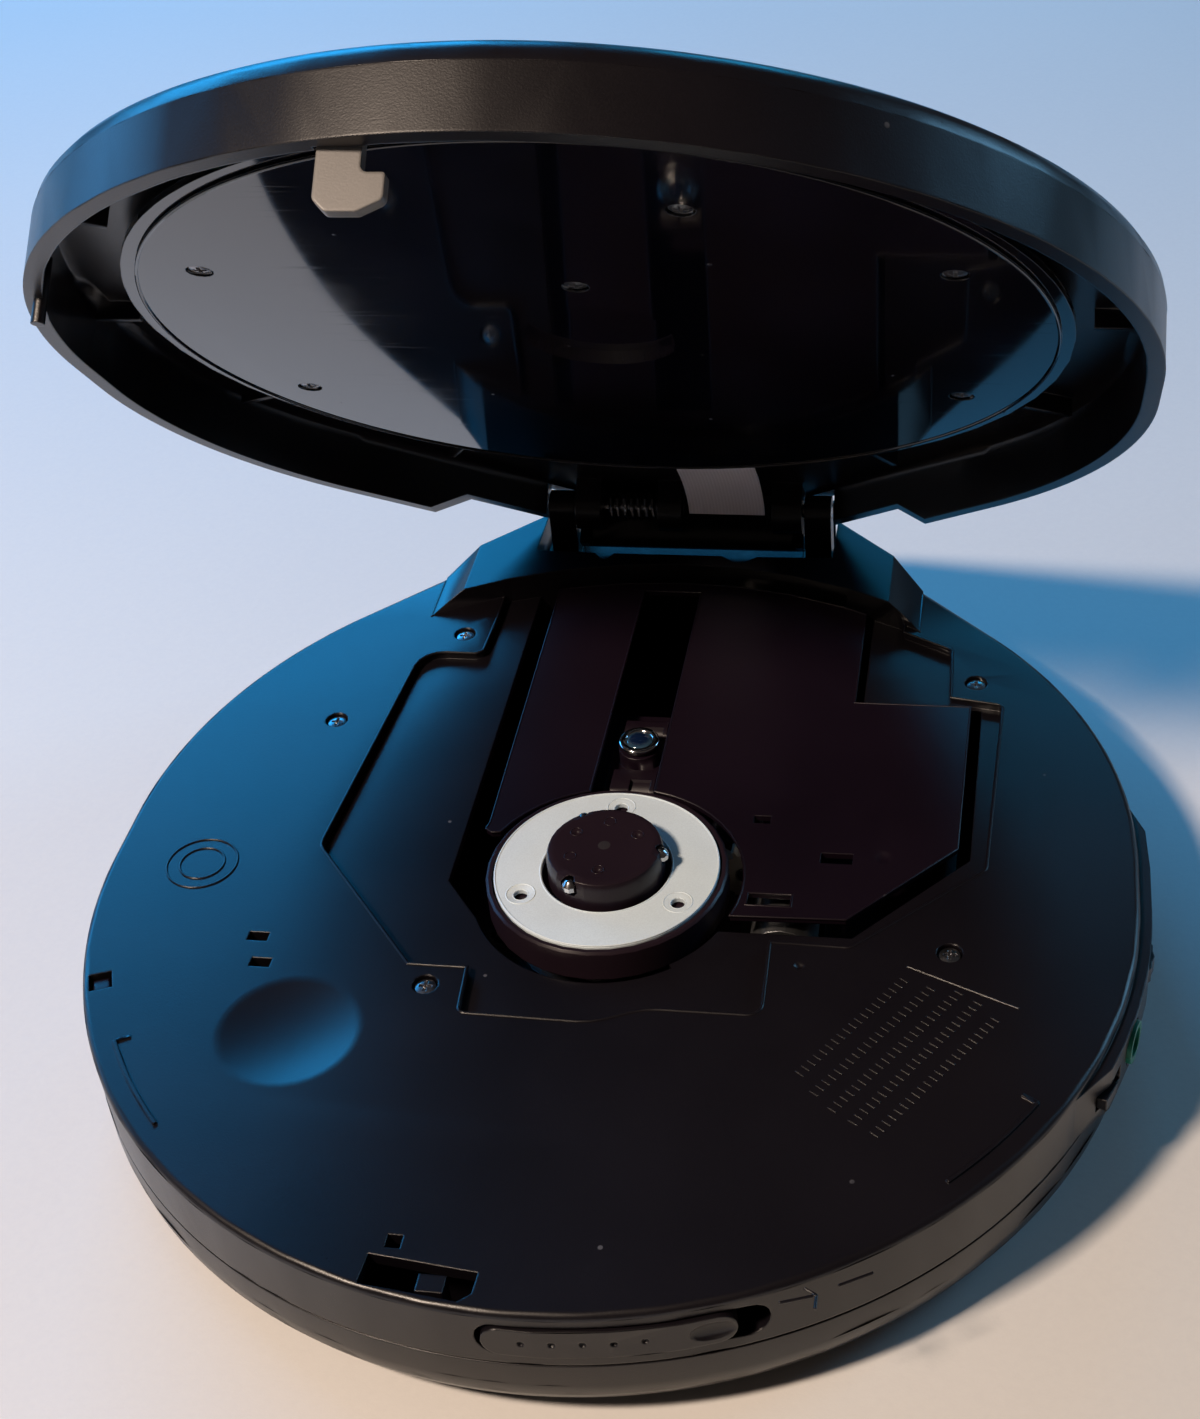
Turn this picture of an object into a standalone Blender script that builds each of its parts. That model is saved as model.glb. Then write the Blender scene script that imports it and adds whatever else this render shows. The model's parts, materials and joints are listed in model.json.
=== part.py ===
"""Portable disc player with a hinged lid, built as separate pieces with real clearances.

Metres, +Z up. The disc axis is X = Y = 0, the hinge lies along X behind it at +Y, and Z = 0 is the flat
panel in the underside. The lid is modelled shut and then turned open on its hinge.
"""

import math

import bmesh
import bpy
from mathutils import Matrix, Vector

# Fits
GAP = 0.0003
OVERRUN = 0.002
OVERLAP = 0.0004

# Facets
ARC_STEP_DEGREES = 7.5
LARGE_STEPS = 48
MEDIUM_STEPS = 32
ROUND_STEPS = 16
SMALL_STEPS = 12
BALL_STEPS = 10
SMOOTH_ANGLE = math.radians(32)
WIDE_DISH_SHARES = (1.15, 0.86, 0.60, 0.33)
SMALL_DISH_SHARES = (1.20, 0.55)

# Base outline and heights
BODY_RADIUS = 0.0656
SIDE_RUN = 0.008
BACK_RUN = 0.0169
CORNER_RADIUS = 0.007
DECK_HEIGHT = 0.0175
SEAM_DROP = 0.00826
WALL = 0.0018
DECK_THICKNESS = 0.0016
RIM_ROUND = 0.0008
FLOOR_THICKNESS = 0.0015
BOTTOM_ROUND = 0.0062
PANEL_DEPTH = 0.0003
PANEL_RADIUS = 0.017

# Disc well, cut in the deck round the mechanism
RECESS_DEPTH = 0.0012
TRAY_THICKNESS = 0.0012
TRAY_MARGIN = 0.0012
RECESS_SHARES = (
    (-0.398, 1.08, 0.0), (-0.398, 0.832, 0.0), (-0.403, 0.710, 0.010), (-0.419, 0.700, 0.0),
    (-0.540, 0.701, 0.060), (-0.590, 0.052, 0.040), (-0.332, -0.258, 0.0), (-0.220, -0.258, 0.0),
    (-0.212, -0.372, 0.016), (0.032, -0.376, 0.120), (0.125, -0.335, 0.120), (0.334, -0.335, 0.026),
    (0.329, -0.149, 0.0), (0.477, -0.153, 0.020), (0.716, 0.075, 0.020), (0.735, 0.584, 0.014),
    (0.627, 0.604, 0.0), (0.623, 0.770, 0.020), (0.517, 0.829, 0.0), (0.517, 1.08, 0.0),
)
OPENING_SHARES = (
    (0.476, -0.110), (0.684, 0.119), (0.691, 0.584), (0.445, 0.584), (0.445, 1.08), (-0.321, 1.08),
    (-0.314, -0.012),
)
POCKET_ARC_DEGREES = (205, 306, 334)
POCKET_STEP = 0.0007

# Turntable and hub
POCKET_RADIUS = 0.0172
TURNTABLE_RADIUS = 0.01424
SEAT_RISE = 0.00189
TURNTABLE_THICKNESS = 0.0008
TURNTABLE_BORE_GAP = 0.0008
CUP_RADIUS = 0.0153
CUP_WALL = 0.0008
CUP_THICKNESS = 0.0009
CUP_HEIGHT = 0.0043
CUP_DROP = 0.0002
HUB_RADIUS = 0.0074
HUB_RISE = 0.00359
HUB_EDGE = 0.0006
HUB_DIMPLE_RADIUS = 0.0007
HUB_DIMPLE_DEPTH = 0.0005
HUB_DIMPLE_ORBIT = 0.0045
HUB_CENTRE_RADIUS = 0.00085
BALL_RADIUS = 0.00105
BALL_ORBIT = 0.0070
BALL_DROP = 0.0014
BALL_WINDOW_RADIUS = 0.0006
BALL_WINDOW_STEPS = 7
BALL_ANGLES = (2, 122, 242)
BALL_NODES = ("clamp_ball_right", "clamp_ball_rear", "clamp_ball_front")
HOLE_ANGLES = (90, 210, 330)
PLATTER_HOLE_RADIUS = 0.0009
PLATTER_DISH_RADIUS = 0.00175
PLATTER_DISH_DEPTH = 0.0002
PLATTER_HOLE_ORBIT = 0.0114
SHAFT_RADIUS = 0.00075
ROTOR_RADIUS = 0.0108
ROTOR_WALL = 0.0008
STATOR_RADIUS = 0.0125
STATOR_HEIGHT = 0.0012
STATOR_CORE_RADIUS = 0.0088

# Floating mechanism cover and its chassis
COVER_RISE = 0.0002
COVER_THICKNESS = 0.0009
COVER_SHARES = (
    (0.463, -0.082), (0.659, 0.128), (0.668, 0.569), (0.428, 0.569), (0.428, 1.08), (-0.275, 1.08),
    (-0.262, 0.140), (-0.266, 0.122), (-0.252, 0.112),
)
COVER_ARC_DEGREES = (154, -19.6)
COVER_BACK_GAP = 0.0009
SLOT_LEFT = 0.0052
SLOT_RIGHT = 0.0034
SLOT_END = 0.0625
COVER_POST_RADIUS = 0.0015
COVER_POST_SHARES = ((0.62, 0.30), (0.60, 0.52), (0.34, 0.88), (-0.235, 0.90), (-0.235, 0.275))
COVER_HOLE_SHARES = ((0.277, 0.186, 0.033, 0.022), (0.432, 0.083, 0.061, 0.029), (0.315, -0.040, 0.085, 0.034))
COVER_DISH_SHARES = (0.520, 0.095)
COVER_DISH_RADIUS = 0.0015
COVER_DISH_DEPTH = 0.0003
CHASSIS_DROP = 0.0105
CHASSIS_THICKNESS = 0.0010
CHASSIS_SHARES = (
    (0.22, -0.16), (0.48, -0.14), (0.655, 0.13), (0.655, 0.56), (0.42, 0.56), (0.42, 0.98), (0.31, 1.135),
    (-0.285, 1.135), (-0.285, -0.06), (-0.14, -0.20),
)

# Pickup, its rods and its drive
LENS_X = -0.00044
LENS_Y = 0.0276
LENS_OUTER_Y = 0.0576
ROD_RISE = 0.0038
ROD_RADIUS = 0.0010
ROD_SPREAD = 0.0115
ROD_START = 0.0130
BRACKET_LENGTH = 0.0024
BRACKET_MARGIN = 0.0016
SLED_UNDER_ROD = 0.0019
SLED_OVER_ROD = 0.0020
SLED_HALF_WIDTH = 0.0134
SLED_NOSE_HALF_WIDTH = 0.0036
SLED_NOSE_REACH = 0.0096
SLED_FRONT = 0.0050
SLED_BACK = 0.0110
OPTICS_HALF_WIDTH = 0.0040
OPTICS_REACH = 0.0079
OPTICS_TAIL = 0.0073
OPTICS_RISE = 0.0021
LENS_TOWER_RISE = 0.0033
OPTICS_PLATE_SHARE = 0.5
OPTICS_BLOCK_SHARES = ((-1, 0.50), (1, 0.36))
LENS_RADIUS = 0.00275
LENS_DOME_RADIUS = 0.00175
LENS_DOME_RISE = 0.0006
LENS_FLANGE = 0.00055
LENS_STEM_RADIUS = 0.0019
LENS_RING_RADIUS = 0.0029
SCREW_OFFSET = 0.0162
FEED_RADIUS = 0.0012
GEAR_MODULE = 0.0005
GEAR_TEETH = 16
PINION_TEETH = 8
GEAR_WIDTH = 0.0018
TOOTH_TIP_SHARE = 0.65
TOOTH_ROOT_SHARE = 1.15
TOOTH_WIDTH_SHARE = 0.38
SLED_MOTOR_RADIUS = 0.0043
SLED_MOTOR_LENGTH = 0.0145
DAMPER_RADIUS = 0.0026
DAMPER_HEIGHT = 0.0020
DAMPER_PIN_RADIUS = 0.0012
DAMPER_SHARES = ((-0.215, -0.02), (0.56, 0.19), (0.345, 0.78))

# Raised block and notch that carry the hinge
BLOCK_RISE = 0.0030
BLOCK_HALF_WIDTH = 0.0314
BLOCK_FOOT_HALF_WIDTH = 0.0360
HINGE_RUN = 0.0115
HINGE_RISE = 0.00546
LID_OPEN_DEGREES = 48.41
NOTCH_HALF_WIDTH = 0.0224
NOTCH_RUN = 0.0027
NOTCH_DROP = 0.0026
NOTCH_FLOOR = 0.0014
NOTCH_DIP_SHARES = ((-0.62, -0.45, 0.14), (0.22, 0.54, 0.13))
EAR_INNER = 0.0176
EAR_THICKNESS = 0.0040
EAR_RADIUS = 0.0024
PIN_RADIUS = 0.0009

# Hinge knuckles under the rear of the lid
KNUCKLE_RADIUS = 0.0036
KNUCKLE_END = 0.0173
KNUCKLE_LEFT_INNER = 0.0134
KNUCKLE_MIDDLE = (-0.0046, -0.0009)
KNUCKLE_RIGHT_INNER = 0.0128
COIL_RADIUS = 0.0019
COIL_WIRE_RADIUS = 0.0003
COIL_TURNS = 7
COIL_POINTS = 9

# Lid
LID_INSET = 0.0005
LID_HEIGHT = 0.0099
LID_WALL = 0.0020
LID_ROOF = 0.0014
LID_ROUND = 0.0030
LID_BLOCK_CLEARANCE = 0.0006
EAR_SLOT_CLEARANCE = 0.0004
CHANNEL_WIDTH = 0.0099
PLATE_RISE = 0.00487
PLATE_THICKNESS = 0.0012
PLATE_STEP = 0.0003
PLATE_STEP_WIDTH = 0.0017
PLATE_DISH_RADIUS = 0.0095
PLATE_DISH_RISE = 0.0013
PLATE_SLOPE = 0.0010
CHANNEL_RIB_STEPS = 12
CHANNEL_RIB_THICKNESS = 0.0008
CHANNEL_RIB_INSET = 0.0020
CHANNEL_RIB_DROP = 0.0024
PLATE_SCREW_SHARES = (
    (-0.640, 0.305), (-0.640, -0.305), (0.640, 0.305), (0.640, -0.305), (0.003, -0.244), (0.229, -0.564),
)
LID_POST_RADIUS = 0.0020
HOOK_LEFT = -0.0146
HOOK_WIDTH = 0.0043
HOOK_FOOT = 0.0024
HOOK_INSET = 0.0039
HOOK_THICKNESS = 0.0014
HOOK_DROP = 0.0058
HOOK_FOOT_TOP = 0.0020
HOOK_FOOT_LOW = 0.0046
HOOK_SEAT = 0.0075
LID_PIN_INSET = 0.0023
LID_PIN_DEGREES = 201.25
LID_PIN_RADIUS = 0.0008
LID_PIN_DROP = 0.0026
RIBBON_LEFT = 0.0006
RIBBON_WIDTH = 0.0114
RIBBON_THICKNESS = 0.0003
RIBBON_INSET = 0.0008
RIBBON_SHARES = ((0.0, 1.0), (0.35, 0.98), (0.60, 0.80), (0.80, 0.45), (0.93, 0.10), (1.0, -0.30))
RIBBON_RISE = 0.0020
RIBBON_RUN = 0.0165

# Controls in the lid
BUTTON_RADIUS = 0.0036
BUTTON_PROUD = 0.0005
BUTTON_FLANGE = 0.0006
BUTTON_FLANGE_HEIGHT = 0.0004
BUTTON_CLEARANCE = 0.00035
BUTTON_NAMES = ("play", "stop", "back", "next", "mode")
BUTTON_INSET = 0.0181
BUTTON_ANGLES = (0, -18, -36, 18, 36)
WINDOW_LENGTH = 0.0380
WINDOW_WIDTH = 0.0120
WINDOW_Y = -0.0264
WINDOW_CORNER = 0.0050
WINDOW_THICKNESS = 0.0008
WINDOW_LEDGE = 0.0012
LID_BOARD_LENGTH = 0.0660
LID_BOARD_WIDTH = 0.0340
LID_BOARD_THICKNESS = 0.0006
LID_BOARD_Y = -0.0340

# Opener in the front wall
SLIDER_START = -2.1
SLIDER_END = 21.2
OPENER_TRAVEL_DEGREES = 2.5
SLIDER_HEIGHT = 0.0042
SLIDER_DROP = 0.0042
SLIDER_PROUD = 0.0004
SLIDER_DEPTH = 0.0012
SLIDER_SLOT_CLEARANCE = 0.0003
GRIP_ANGLES = (1.6, 4.4, 7.2, 10.0, 12.8)
GRIP_RADIUS = 0.00045
SCOOP_START = 16.6
SCOOP_DEPTH = 0.0007
BAR_INSET = 0.0053
BAR_THICKNESS = 0.0022
BAR_DROP = 0.0050
BAR_HEIGHT = 0.0026
BAR_START = -15.0
BAR_END = 17.0
LINK_START = 7.0
LINK_END = 14.0
CATCH_LEFT = -0.0096
CATCH_WIDTH = 0.0030
CATCH_STEM = 0.0009
CATCH_DROP = 0.0005
CATCH_HEIGHT = 0.0012
CATCH_DEPTH = 0.0022
CATCH_INSET = 0.0024
LATCH_SLOT_SHARES = (
    (-0.240, -0.962), (-0.236, -0.905), (-0.050, -0.925), (-0.052, -0.965), (-0.072, -0.982),
)
LATCH_SPRING_RADIUS = 0.0008
LATCH_WIRE_RADIUS = 0.00018
LATCH_SPRING_TURNS = 4
LATCH_SPRING_START = -21.5
LATCH_POST_RADIUS = 0.0010

# Small features of the deck
SCREW_SHARES = ((-0.665, 0.446), (-0.457, 0.768), (-0.287, -0.308), (0.677, 0.655), (0.657, -0.152))
SCREW_HEAD_RADIUS = 0.0013
SCREW_HEAD_HEIGHT = 0.0006
SCREW_SHANK_RADIUS = 0.0007
SCREW_LENGTH = 0.0060
SCREW_SINK = 0.0002
POST_RADIUS = 0.0019
SWITCH_HOLE = 0.0028
PLUNGER_CLEARANCE = 0.0003
PLUNGER_DROP = 0.0006
PLUNGER_TRAVEL = 0.0023
PLUNGER_LENGTH = 0.0040
SMALL_SLOT_SHARES = ((-0.636, -0.210), (-0.611, -0.277))
SMALL_SLOT_LENGTH = 0.0026
SMALL_SLOT_WIDTH = 0.0015
SQUARE_HOLE_SHARES = (-0.200, -0.878)
SQUARE_HOLE = 0.0017
THUMB_DISH_SHARES = (-0.508, -0.441)
THUMB_DISH_RADIUS = 0.0092
THUMB_DISH_DEPTH = 0.0009
DIMPLE_SHARES = (0.390, -0.206)
DIMPLE_RADIUS = 0.0008
DIMPLE_DEPTH = 0.0004
RIDGE_INSET = 0.0026
RIDGE_WIDTH = 0.0005
RIDGE_HEIGHT = 0.0003
RIDGE_TICK = 0.0022
RIDGE_ARCS = ((211.2, 225.0), (315.0, 328.8))

# Side pod with the sockets and controls
POD_START = -30.0
POD_END = 12.0
POD_TAPER_SHARE = 0.14
POD_PROUD = 0.0014
POD_DROP = 0.0012
POD_ROOT = 0.0010
JACK_ANGLE = -15.3
JACK_DROP = 0.0050
JACK_HOLE_RADIUS = 0.0029
JACK_RING_WALL = 0.0007
JACK_BORE_RADIUS = 0.0018
JACK_BODY_LENGTH = 0.0125
JACK_BODY_WIDTH = 0.0066
JACK_BODY_HEIGHT = 0.0062
POWER_ANGLE = 9.0
POWER_BORE_RADIUS = 0.0017
POWER_PIN_RADIUS = 0.0005
HOLD_ANGLE = -23.0
HOLD_TRAVEL = 0.0020
HOLD_LENGTH = 0.0032
HOLD_HEIGHT = 0.0016
HOLD_SLOT_CLEARANCE = 0.0004
HOLD_PROUD = 0.0004
HOLD_DEPTH = 0.0040
VOLUME_ANGLE = -4.0
VOLUME_RADIUS = 0.0062
VOLUME_PROUD = 0.0005
VOLUME_THICKNESS = 0.0022
VOLUME_NOTCHES = 20
VOLUME_NOTCH_DEPTH = 0.0002
VOLUME_AXLE_RADIUS = 0.0010

# Feet, battery bay and door
FOOT_INSET = 0.0111
FOOT_FRONT_DEGREES = (233.3, 306.7)
FOOT_REAR_DEGREES = (127, 53)
FOOT_RADIUS = 0.0040
FOOT_PROUD = 0.0010
FOOT_SINK = 0.0008
FOOT_SEAT_WALL = 0.0009
CELL_LENGTH = 0.0505
CELL_DIAMETER = 0.0145
CELL_PLAY = 0.0010
CONTACT_ROOM = 0.0035
BAY_BACK = -0.0245
BAY_WALL = 0.0012
DOOR_THICKNESS = 0.0012
DOOR_HINGE_INSET = 0.0016
TRUNNION_RADIUS = 0.0006
TRUNNION_LENGTH = 0.0010
DOOR_GRIP_WIDTH = 0.0120
DOOR_GRIP_DEPTH = 0.0004
CONTACT_RADIUS = 0.0034
CONTACT_THICKNESS = 0.0005
CONTACT_COIL_RADIUS = 0.0024
CONTACT_TURNS = 2
CONTACT_WIRE_RADIUS = 0.0003

# Main circuit board
BOARD_DROP = 0.0010
BOARD_THICKNESS = 0.0010
BOARD_INSET = 0.0096
BOARD_RIGHT = -0.0250
BOARD_FRONT = -0.0190
BOARD_BACK = 0.0440
BOARD_NOTCH = 0.0030
BOARD_POST_RADIUS = 0.0016
CHIP_SHARES = ((0.62, 0.35, 0.30, 0.17), (0.66, 0.72, 0.24, 0.11), (0.22, 0.22, 0.16, 0.08), (0.30, 0.85, 0.20, 0.07))
CHIP_HEIGHT = 0.0014

# Places that follow from the body's round
BACK_REACH = BODY_RADIUS + BACK_RUN
HINGE_Y = BODY_RADIUS + HINGE_RUN
NOTCH_FRONT = BODY_RADIUS + NOTCH_RUN
COVER_REACH = BODY_RADIUS - COVER_BACK_GAP
PLATE_RADIUS = BODY_RADIUS - LID_INSET - CHANNEL_WIDTH
PLATE_STEP_RADIUS = PLATE_RADIUS - PLATE_STEP_WIDTH
CHANNEL_RIB_START = PLATE_RADIUS + CHANNEL_RIB_INSET
RIBBON_START = PLATE_RADIUS + RIBBON_INSET
BUTTON_ORBIT = BODY_RADIUS - BUTTON_INSET
BAR_INNER = BODY_RADIUS - BAR_INSET
CATCH_Y = CATCH_INSET - BODY_RADIUS
HOOK_Y = HOOK_INSET - BODY_RADIUS
LID_PIN_X = (BODY_RADIUS - LID_PIN_INSET) * math.cos(math.radians(LID_PIN_DEGREES))
LID_PIN_Y = (BODY_RADIUS - LID_PIN_INSET) * math.sin(math.radians(LID_PIN_DEGREES))
RIDGE_RADIUS = BODY_RADIUS - RIDGE_INSET
FOOT_ORBIT = BODY_RADIUS - FOOT_INSET
BOARD_LEFT = BOARD_INSET - BODY_RADIUS

# Heights that follow from the sizes above
SEAM = DECK_HEIGHT - SEAM_DROP
UNDERSIDE = -PANEL_DEPTH
FLOOR = UNDERSIDE + FLOOR_THICKNESS
DECK_UNDER = DECK_HEIGHT - DECK_THICKNESS
WELL_FLOOR = DECK_HEIGHT - RECESS_DEPTH
TRAY_UNDER = WELL_FLOOR - TRAY_THICKNESS
COVER_TOP = DECK_HEIGHT + COVER_RISE
COVER_UNDER = COVER_TOP - COVER_THICKNESS
SEAT_HEIGHT = DECK_HEIGHT + SEAT_RISE
PLATTER_UNDER = SEAT_HEIGHT - TURNTABLE_THICKNESS
HUB_TOP = SEAT_HEIGHT + HUB_RISE
CUP_FLOOR = PLATTER_UNDER - GAP
CUP_UNDER = CUP_FLOOR - CUP_THICKNESS
ROTOR_TOP = CUP_UNDER - GAP
CHASSIS_LOW = DECK_HEIGHT - CHASSIS_DROP
CHASSIS_TOP = CHASSIS_LOW + CHASSIS_THICKNESS
ROD_HEIGHT = CHASSIS_LOW + ROD_RISE
SLED_LOW = ROD_HEIGHT - SLED_UNDER_ROD
SLED_HIGH = ROD_HEIGHT + SLED_OVER_ROD
OPTICS_LOW = SLED_HIGH + GAP
OPTICS_HIGH = OPTICS_LOW + OPTICS_RISE
BOARD_LOW = CHASSIS_LOW - BOARD_DROP
HINGE_HEIGHT = DECK_HEIGHT + HINGE_RISE
BLOCK_TOP = DECK_HEIGHT + BLOCK_RISE
LID_SEAT = DECK_HEIGHT + GAP
LID_TOP = LID_SEAT + LID_HEIGHT
LID_CEILING = LID_TOP - LID_ROOF
PLATE_LOW = DECK_HEIGHT + PLATE_RISE
PLATE_TOP = PLATE_LOW + PLATE_THICKNESS
NOTCH_BASE = DECK_HEIGHT - NOTCH_DROP
SLIDER_MIDDLE = DECK_HEIGHT - SLIDER_DROP
BAR_LOW = SLIDER_MIDDLE - BAR_DROP
BAY_HALF_LENGTH = CELL_LENGTH / 2 + CONTACT_ROOM / 2
BAY_FRONT = BAY_BACK - CELL_DIAMETER * 2 - CELL_PLAY
POD_RADIUS = BODY_RADIUS + POD_PROUD
DRIVE_OFFSET = SCREW_OFFSET + GEAR_MODULE * (GEAR_TEETH + PINION_TEETH) / 2

LOOKS = {
    "shell": ((0.030, 0.030, 0.036), 0.42, 0.0),
    "gloss": ((0.012, 0.013, 0.022), 0.08, 0.0),
    "mechanism": ((0.030, 0.022, 0.030), 0.38, 0.0),
    "platter": ((0.62, 0.66, 0.66), 0.34, 1.0),
    "steel": ((0.60, 0.60, 0.62), 0.25, 1.0),
    "sheet": ((0.50, 0.51, 0.53), 0.40, 1.0),
    "dark_steel": ((0.16, 0.16, 0.17), 0.35, 1.0),
    "brass": ((0.68, 0.55, 0.30), 0.35, 1.0),
    "rubber": ((0.045, 0.045, 0.048), 0.75, 0.0),
    "grey": ((0.50, 0.50, 0.52), 0.50, 0.0),
    "ribbon": ((0.36, 0.34, 0.37), 0.50, 0.0),
    "white": ((0.75, 0.74, 0.70), 0.50, 0.0),
    "green": ((0.02, 0.32, 0.22), 0.45, 0.0),
    "board": ((0.03, 0.16, 0.09), 0.45, 0.0),
    "lens": ((0.70, 0.80, 0.95), 0.04, 0.0),
    "window": ((0.10, 0.11, 0.12), 0.06, 0.0),
}


# Scene helpers

def clear_scene():
    for item in list(bpy.data.objects):
        bpy.data.objects.remove(item, do_unlink=True)


def new_collection(name):
    group = bpy.data.collections.new(name)
    bpy.context.scene.collection.children.link(group)
    return group


def look(name):
    """Principled material of a named look."""
    found = bpy.data.materials.get(name)
    if found:
        return found
    colour, roughness, metallic = LOOKS[name]
    made = bpy.data.materials.new(name)
    made.use_nodes = True
    shader = made.node_tree.nodes["Principled BSDF"]
    shader.inputs["Base Color"].default_value = (*colour, 1.0)
    shader.inputs["Roughness"].default_value = roughness
    shader.inputs["Metallic"].default_value = metallic
    return made


def guide(mesh, name="guide"):
    """Object that only cuts or joins others, kept out of the part."""
    shape = bpy.data.objects.new(name, mesh)
    shape.hide_render = True
    shape.display_type = "WIRE"
    GUIDES.objects.link(shape)
    return shape


def part(shape, name, finish):
    """Names a finished piece and moves it from the guides to the player."""
    GUIDES.objects.unlink(shape)
    PLAYER.objects.link(shape)
    shape.name = name
    shape.data.name = name
    shape.hide_render = False
    shape.display_type = "TEXTURED"
    shape.data.materials.clear()
    shape.data.materials.append(look(finish))
    return shape


def combine(target, tool, operation):
    change = target.modifiers.new(operation.lower(), "BOOLEAN")
    change.operation = operation
    change.object = tool
    change.solver = "EXACT"
    return target


def cut(target, *tools):
    for tool in tools:
        combine(target, tool, "DIFFERENCE")
    return target


def fuse(target, *tools):
    for tool in tools:
        combine(target, tool, "UNION")
    return target


def keep(target, tool):
    return combine(target, tool, "INTERSECT")


# Outline helpers

def arc(centre, radius, start, end):
    """Points on an arc about a centre, from one angle to another in degrees."""
    steps = max(2, round(abs(end - start) / ARC_STEP_DEGREES))
    points = []
    for step in range(steps + 1):
        angle = math.radians(start + (end - start) * step / steps)
        points.append((centre[0] + radius * math.cos(angle), centre[1] + radius * math.sin(angle)))
    return points


def body_outline(inset=0):
    """Player seen from above: a round front, short straight sides and a cut-off round back."""
    radius = BODY_RADIUS - inset
    corner = CORNER_RADIUS - inset
    corner_y = BACK_REACH - CORNER_RADIUS
    corner_x = (BODY_RADIUS - CORNER_RADIUS) * math.sqrt(2) - (corner_y - SIDE_RUN)
    points = arc((0, 0), radius, 180, 360)
    points += arc((0, SIDE_RUN), radius, 0, 45)
    points += arc((corner_x, corner_y), corner, 45, 90)
    points += arc((-corner_x, corner_y), corner, 90, 135)
    points += arc((0, SIDE_RUN), radius, 135, 180)
    return points


def scaled(shares, size=BODY_RADIUS):
    return [(share[0] * size, share[1] * size) for share in shares]


def place(share, size=BODY_RADIUS):
    return (share[0] * size, share[1] * size)


def rounded(points, radii):
    """Polygon with each corner replaced by an arc of its own radius."""
    result = []
    count = len(points)
    for index, point in enumerate(points):
        radius = radii[index]
        corner = Vector(point)
        before = Vector(points[index - 1]) - corner
        after = Vector(points[(index + 1) % count]) - corner
        if radius <= 0:
            result.append(tuple(corner))
            continue
        half = before.angle(after) / 2
        reach = min(radius / math.tan(half), before.length * 0.48, after.length * 0.48)
        radius = reach * math.tan(half)
        middle = corner + (before.normalized() + after.normalized()).normalized() * (radius / math.sin(half))
        start = corner + before.normalized() * reach - middle
        end = corner + after.normalized() * reach - middle
        turn = start.angle_signed(end)
        steps = max(2, round(math.degrees(abs(turn)) / 22))
        for step in range(steps + 1):
            angle = -turn * step / steps
            spoke = Matrix.Rotation(angle, 2) @ start
            result.append(tuple(middle + spoke))
    return result


def grown(points, margin):
    """Outline moved outwards by a margin, with mitred corners; a negative margin shrinks it."""
    area = 0
    count = len(points)
    for index in range(count):
        x0, y0 = points[index]
        x1, y1 = points[(index + 1) % count]
        area += x0 * y1 - x1 * y0
    side = math.copysign(1, area)
    result = []
    for index in range(count):
        here = Vector(points[index])
        before = (here - Vector(points[index - 1])).normalized()
        after = (Vector(points[(index + 1) % count]) - here).normalized()
        normal = Vector((before.y, -before.x)) + Vector((after.y, -after.x))
        normal.normalize()
        lean = max(0.5, normal.dot(Vector((after.y, -after.x))))
        result.append(tuple(here + normal * (side * margin / lean)))
    return result


def rectangle(x0, x1, y0, y1, corner=0):
    points = [(x0, y0), (x1, y0), (x1, y1), (x0, y1)]
    if corner:
        return rounded(points, [corner] * len(points))
    return points


# Solid helpers

def meshed(shape, levels=None):
    """Turns a curve into a welded mesh object; a flat outline's caps go to two exact levels."""
    mesh = bpy.data.meshes.new_from_object(shape)
    curve = shape.data
    bpy.data.objects.remove(shape)
    bpy.data.curves.remove(curve)
    work = bmesh.new()
    work.from_mesh(mesh)
    bmesh.ops.remove_doubles(work, verts=work.verts, dist=GAP / 100)
    if levels:
        for vert in work.verts:
            vert.co.z = levels[1] if vert.co.z > 0 else levels[0]
    bmesh.ops.dissolve_limit(work, angle_limit=math.radians(0.5), verts=work.verts, edges=work.edges)
    bmesh.ops.recalc_face_normals(work, faces=work.faces)
    work.to_mesh(mesh)
    work.free()
    return guide(mesh)


def prism(points, low, high):
    """Straight block on a closed outline, from a filled curve."""
    curve = bpy.data.curves.new("outline", "CURVE")
    curve.dimensions = "2D"
    curve.fill_mode = "BOTH"
    curve.extrude = (high - low) / 2
    line = curve.splines.new("POLY")
    line.points.add(len(points) - 1)
    for spot, (x, y) in zip(line.points, points):
        spot.co = (x, y, 0, 1)
    line.use_cyclic_u = True
    return meshed(bpy.data.objects.new("outline", curve), (low, high))


def tube(points, radius, cyclic=False):
    """Wire along a path."""
    curve = bpy.data.curves.new("wire", "CURVE")
    curve.dimensions = "3D"
    curve.bevel_depth = radius
    curve.bevel_resolution = 1
    curve.use_fill_caps = True
    line = curve.splines.new("POLY")
    line.points.add(len(points) - 1)
    for spot, point in zip(line.points, points):
        spot.co = (*point, 1)
    line.use_cyclic_u = cyclic
    return meshed(bpy.data.objects.new("wire", curve))


def placed(shape, frame):
    """Bakes a frame into a shape's mesh."""
    shape.data.transform(frame)
    return shape


def soften(shape, height, width, segments):
    """Rounds the edges that lie in one level plane."""
    work = bmesh.new()
    work.from_mesh(shape.data)
    edges = []
    for edge in work.edges:
        if all(abs(vert.co.z - height) < GAP / 10 for vert in edge.verts):
            edges.append(edge)
    bmesh.ops.bevel(work, geom=edges, offset=width, segments=segments, profile=0.5, affect="EDGES")
    work.to_mesh(shape.data)
    work.free()
    return shape


def block(low, high):
    """Box between two corners."""
    work = bmesh.new()
    bmesh.ops.create_cube(work, size=1)
    for vert in work.verts:
        vert.co = [high[axis] if vert.co[axis] > 0 else low[axis] for axis in range(3)]
    mesh = bpy.data.meshes.new("block")
    work.to_mesh(mesh)
    work.free()
    return guide(mesh)


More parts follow.
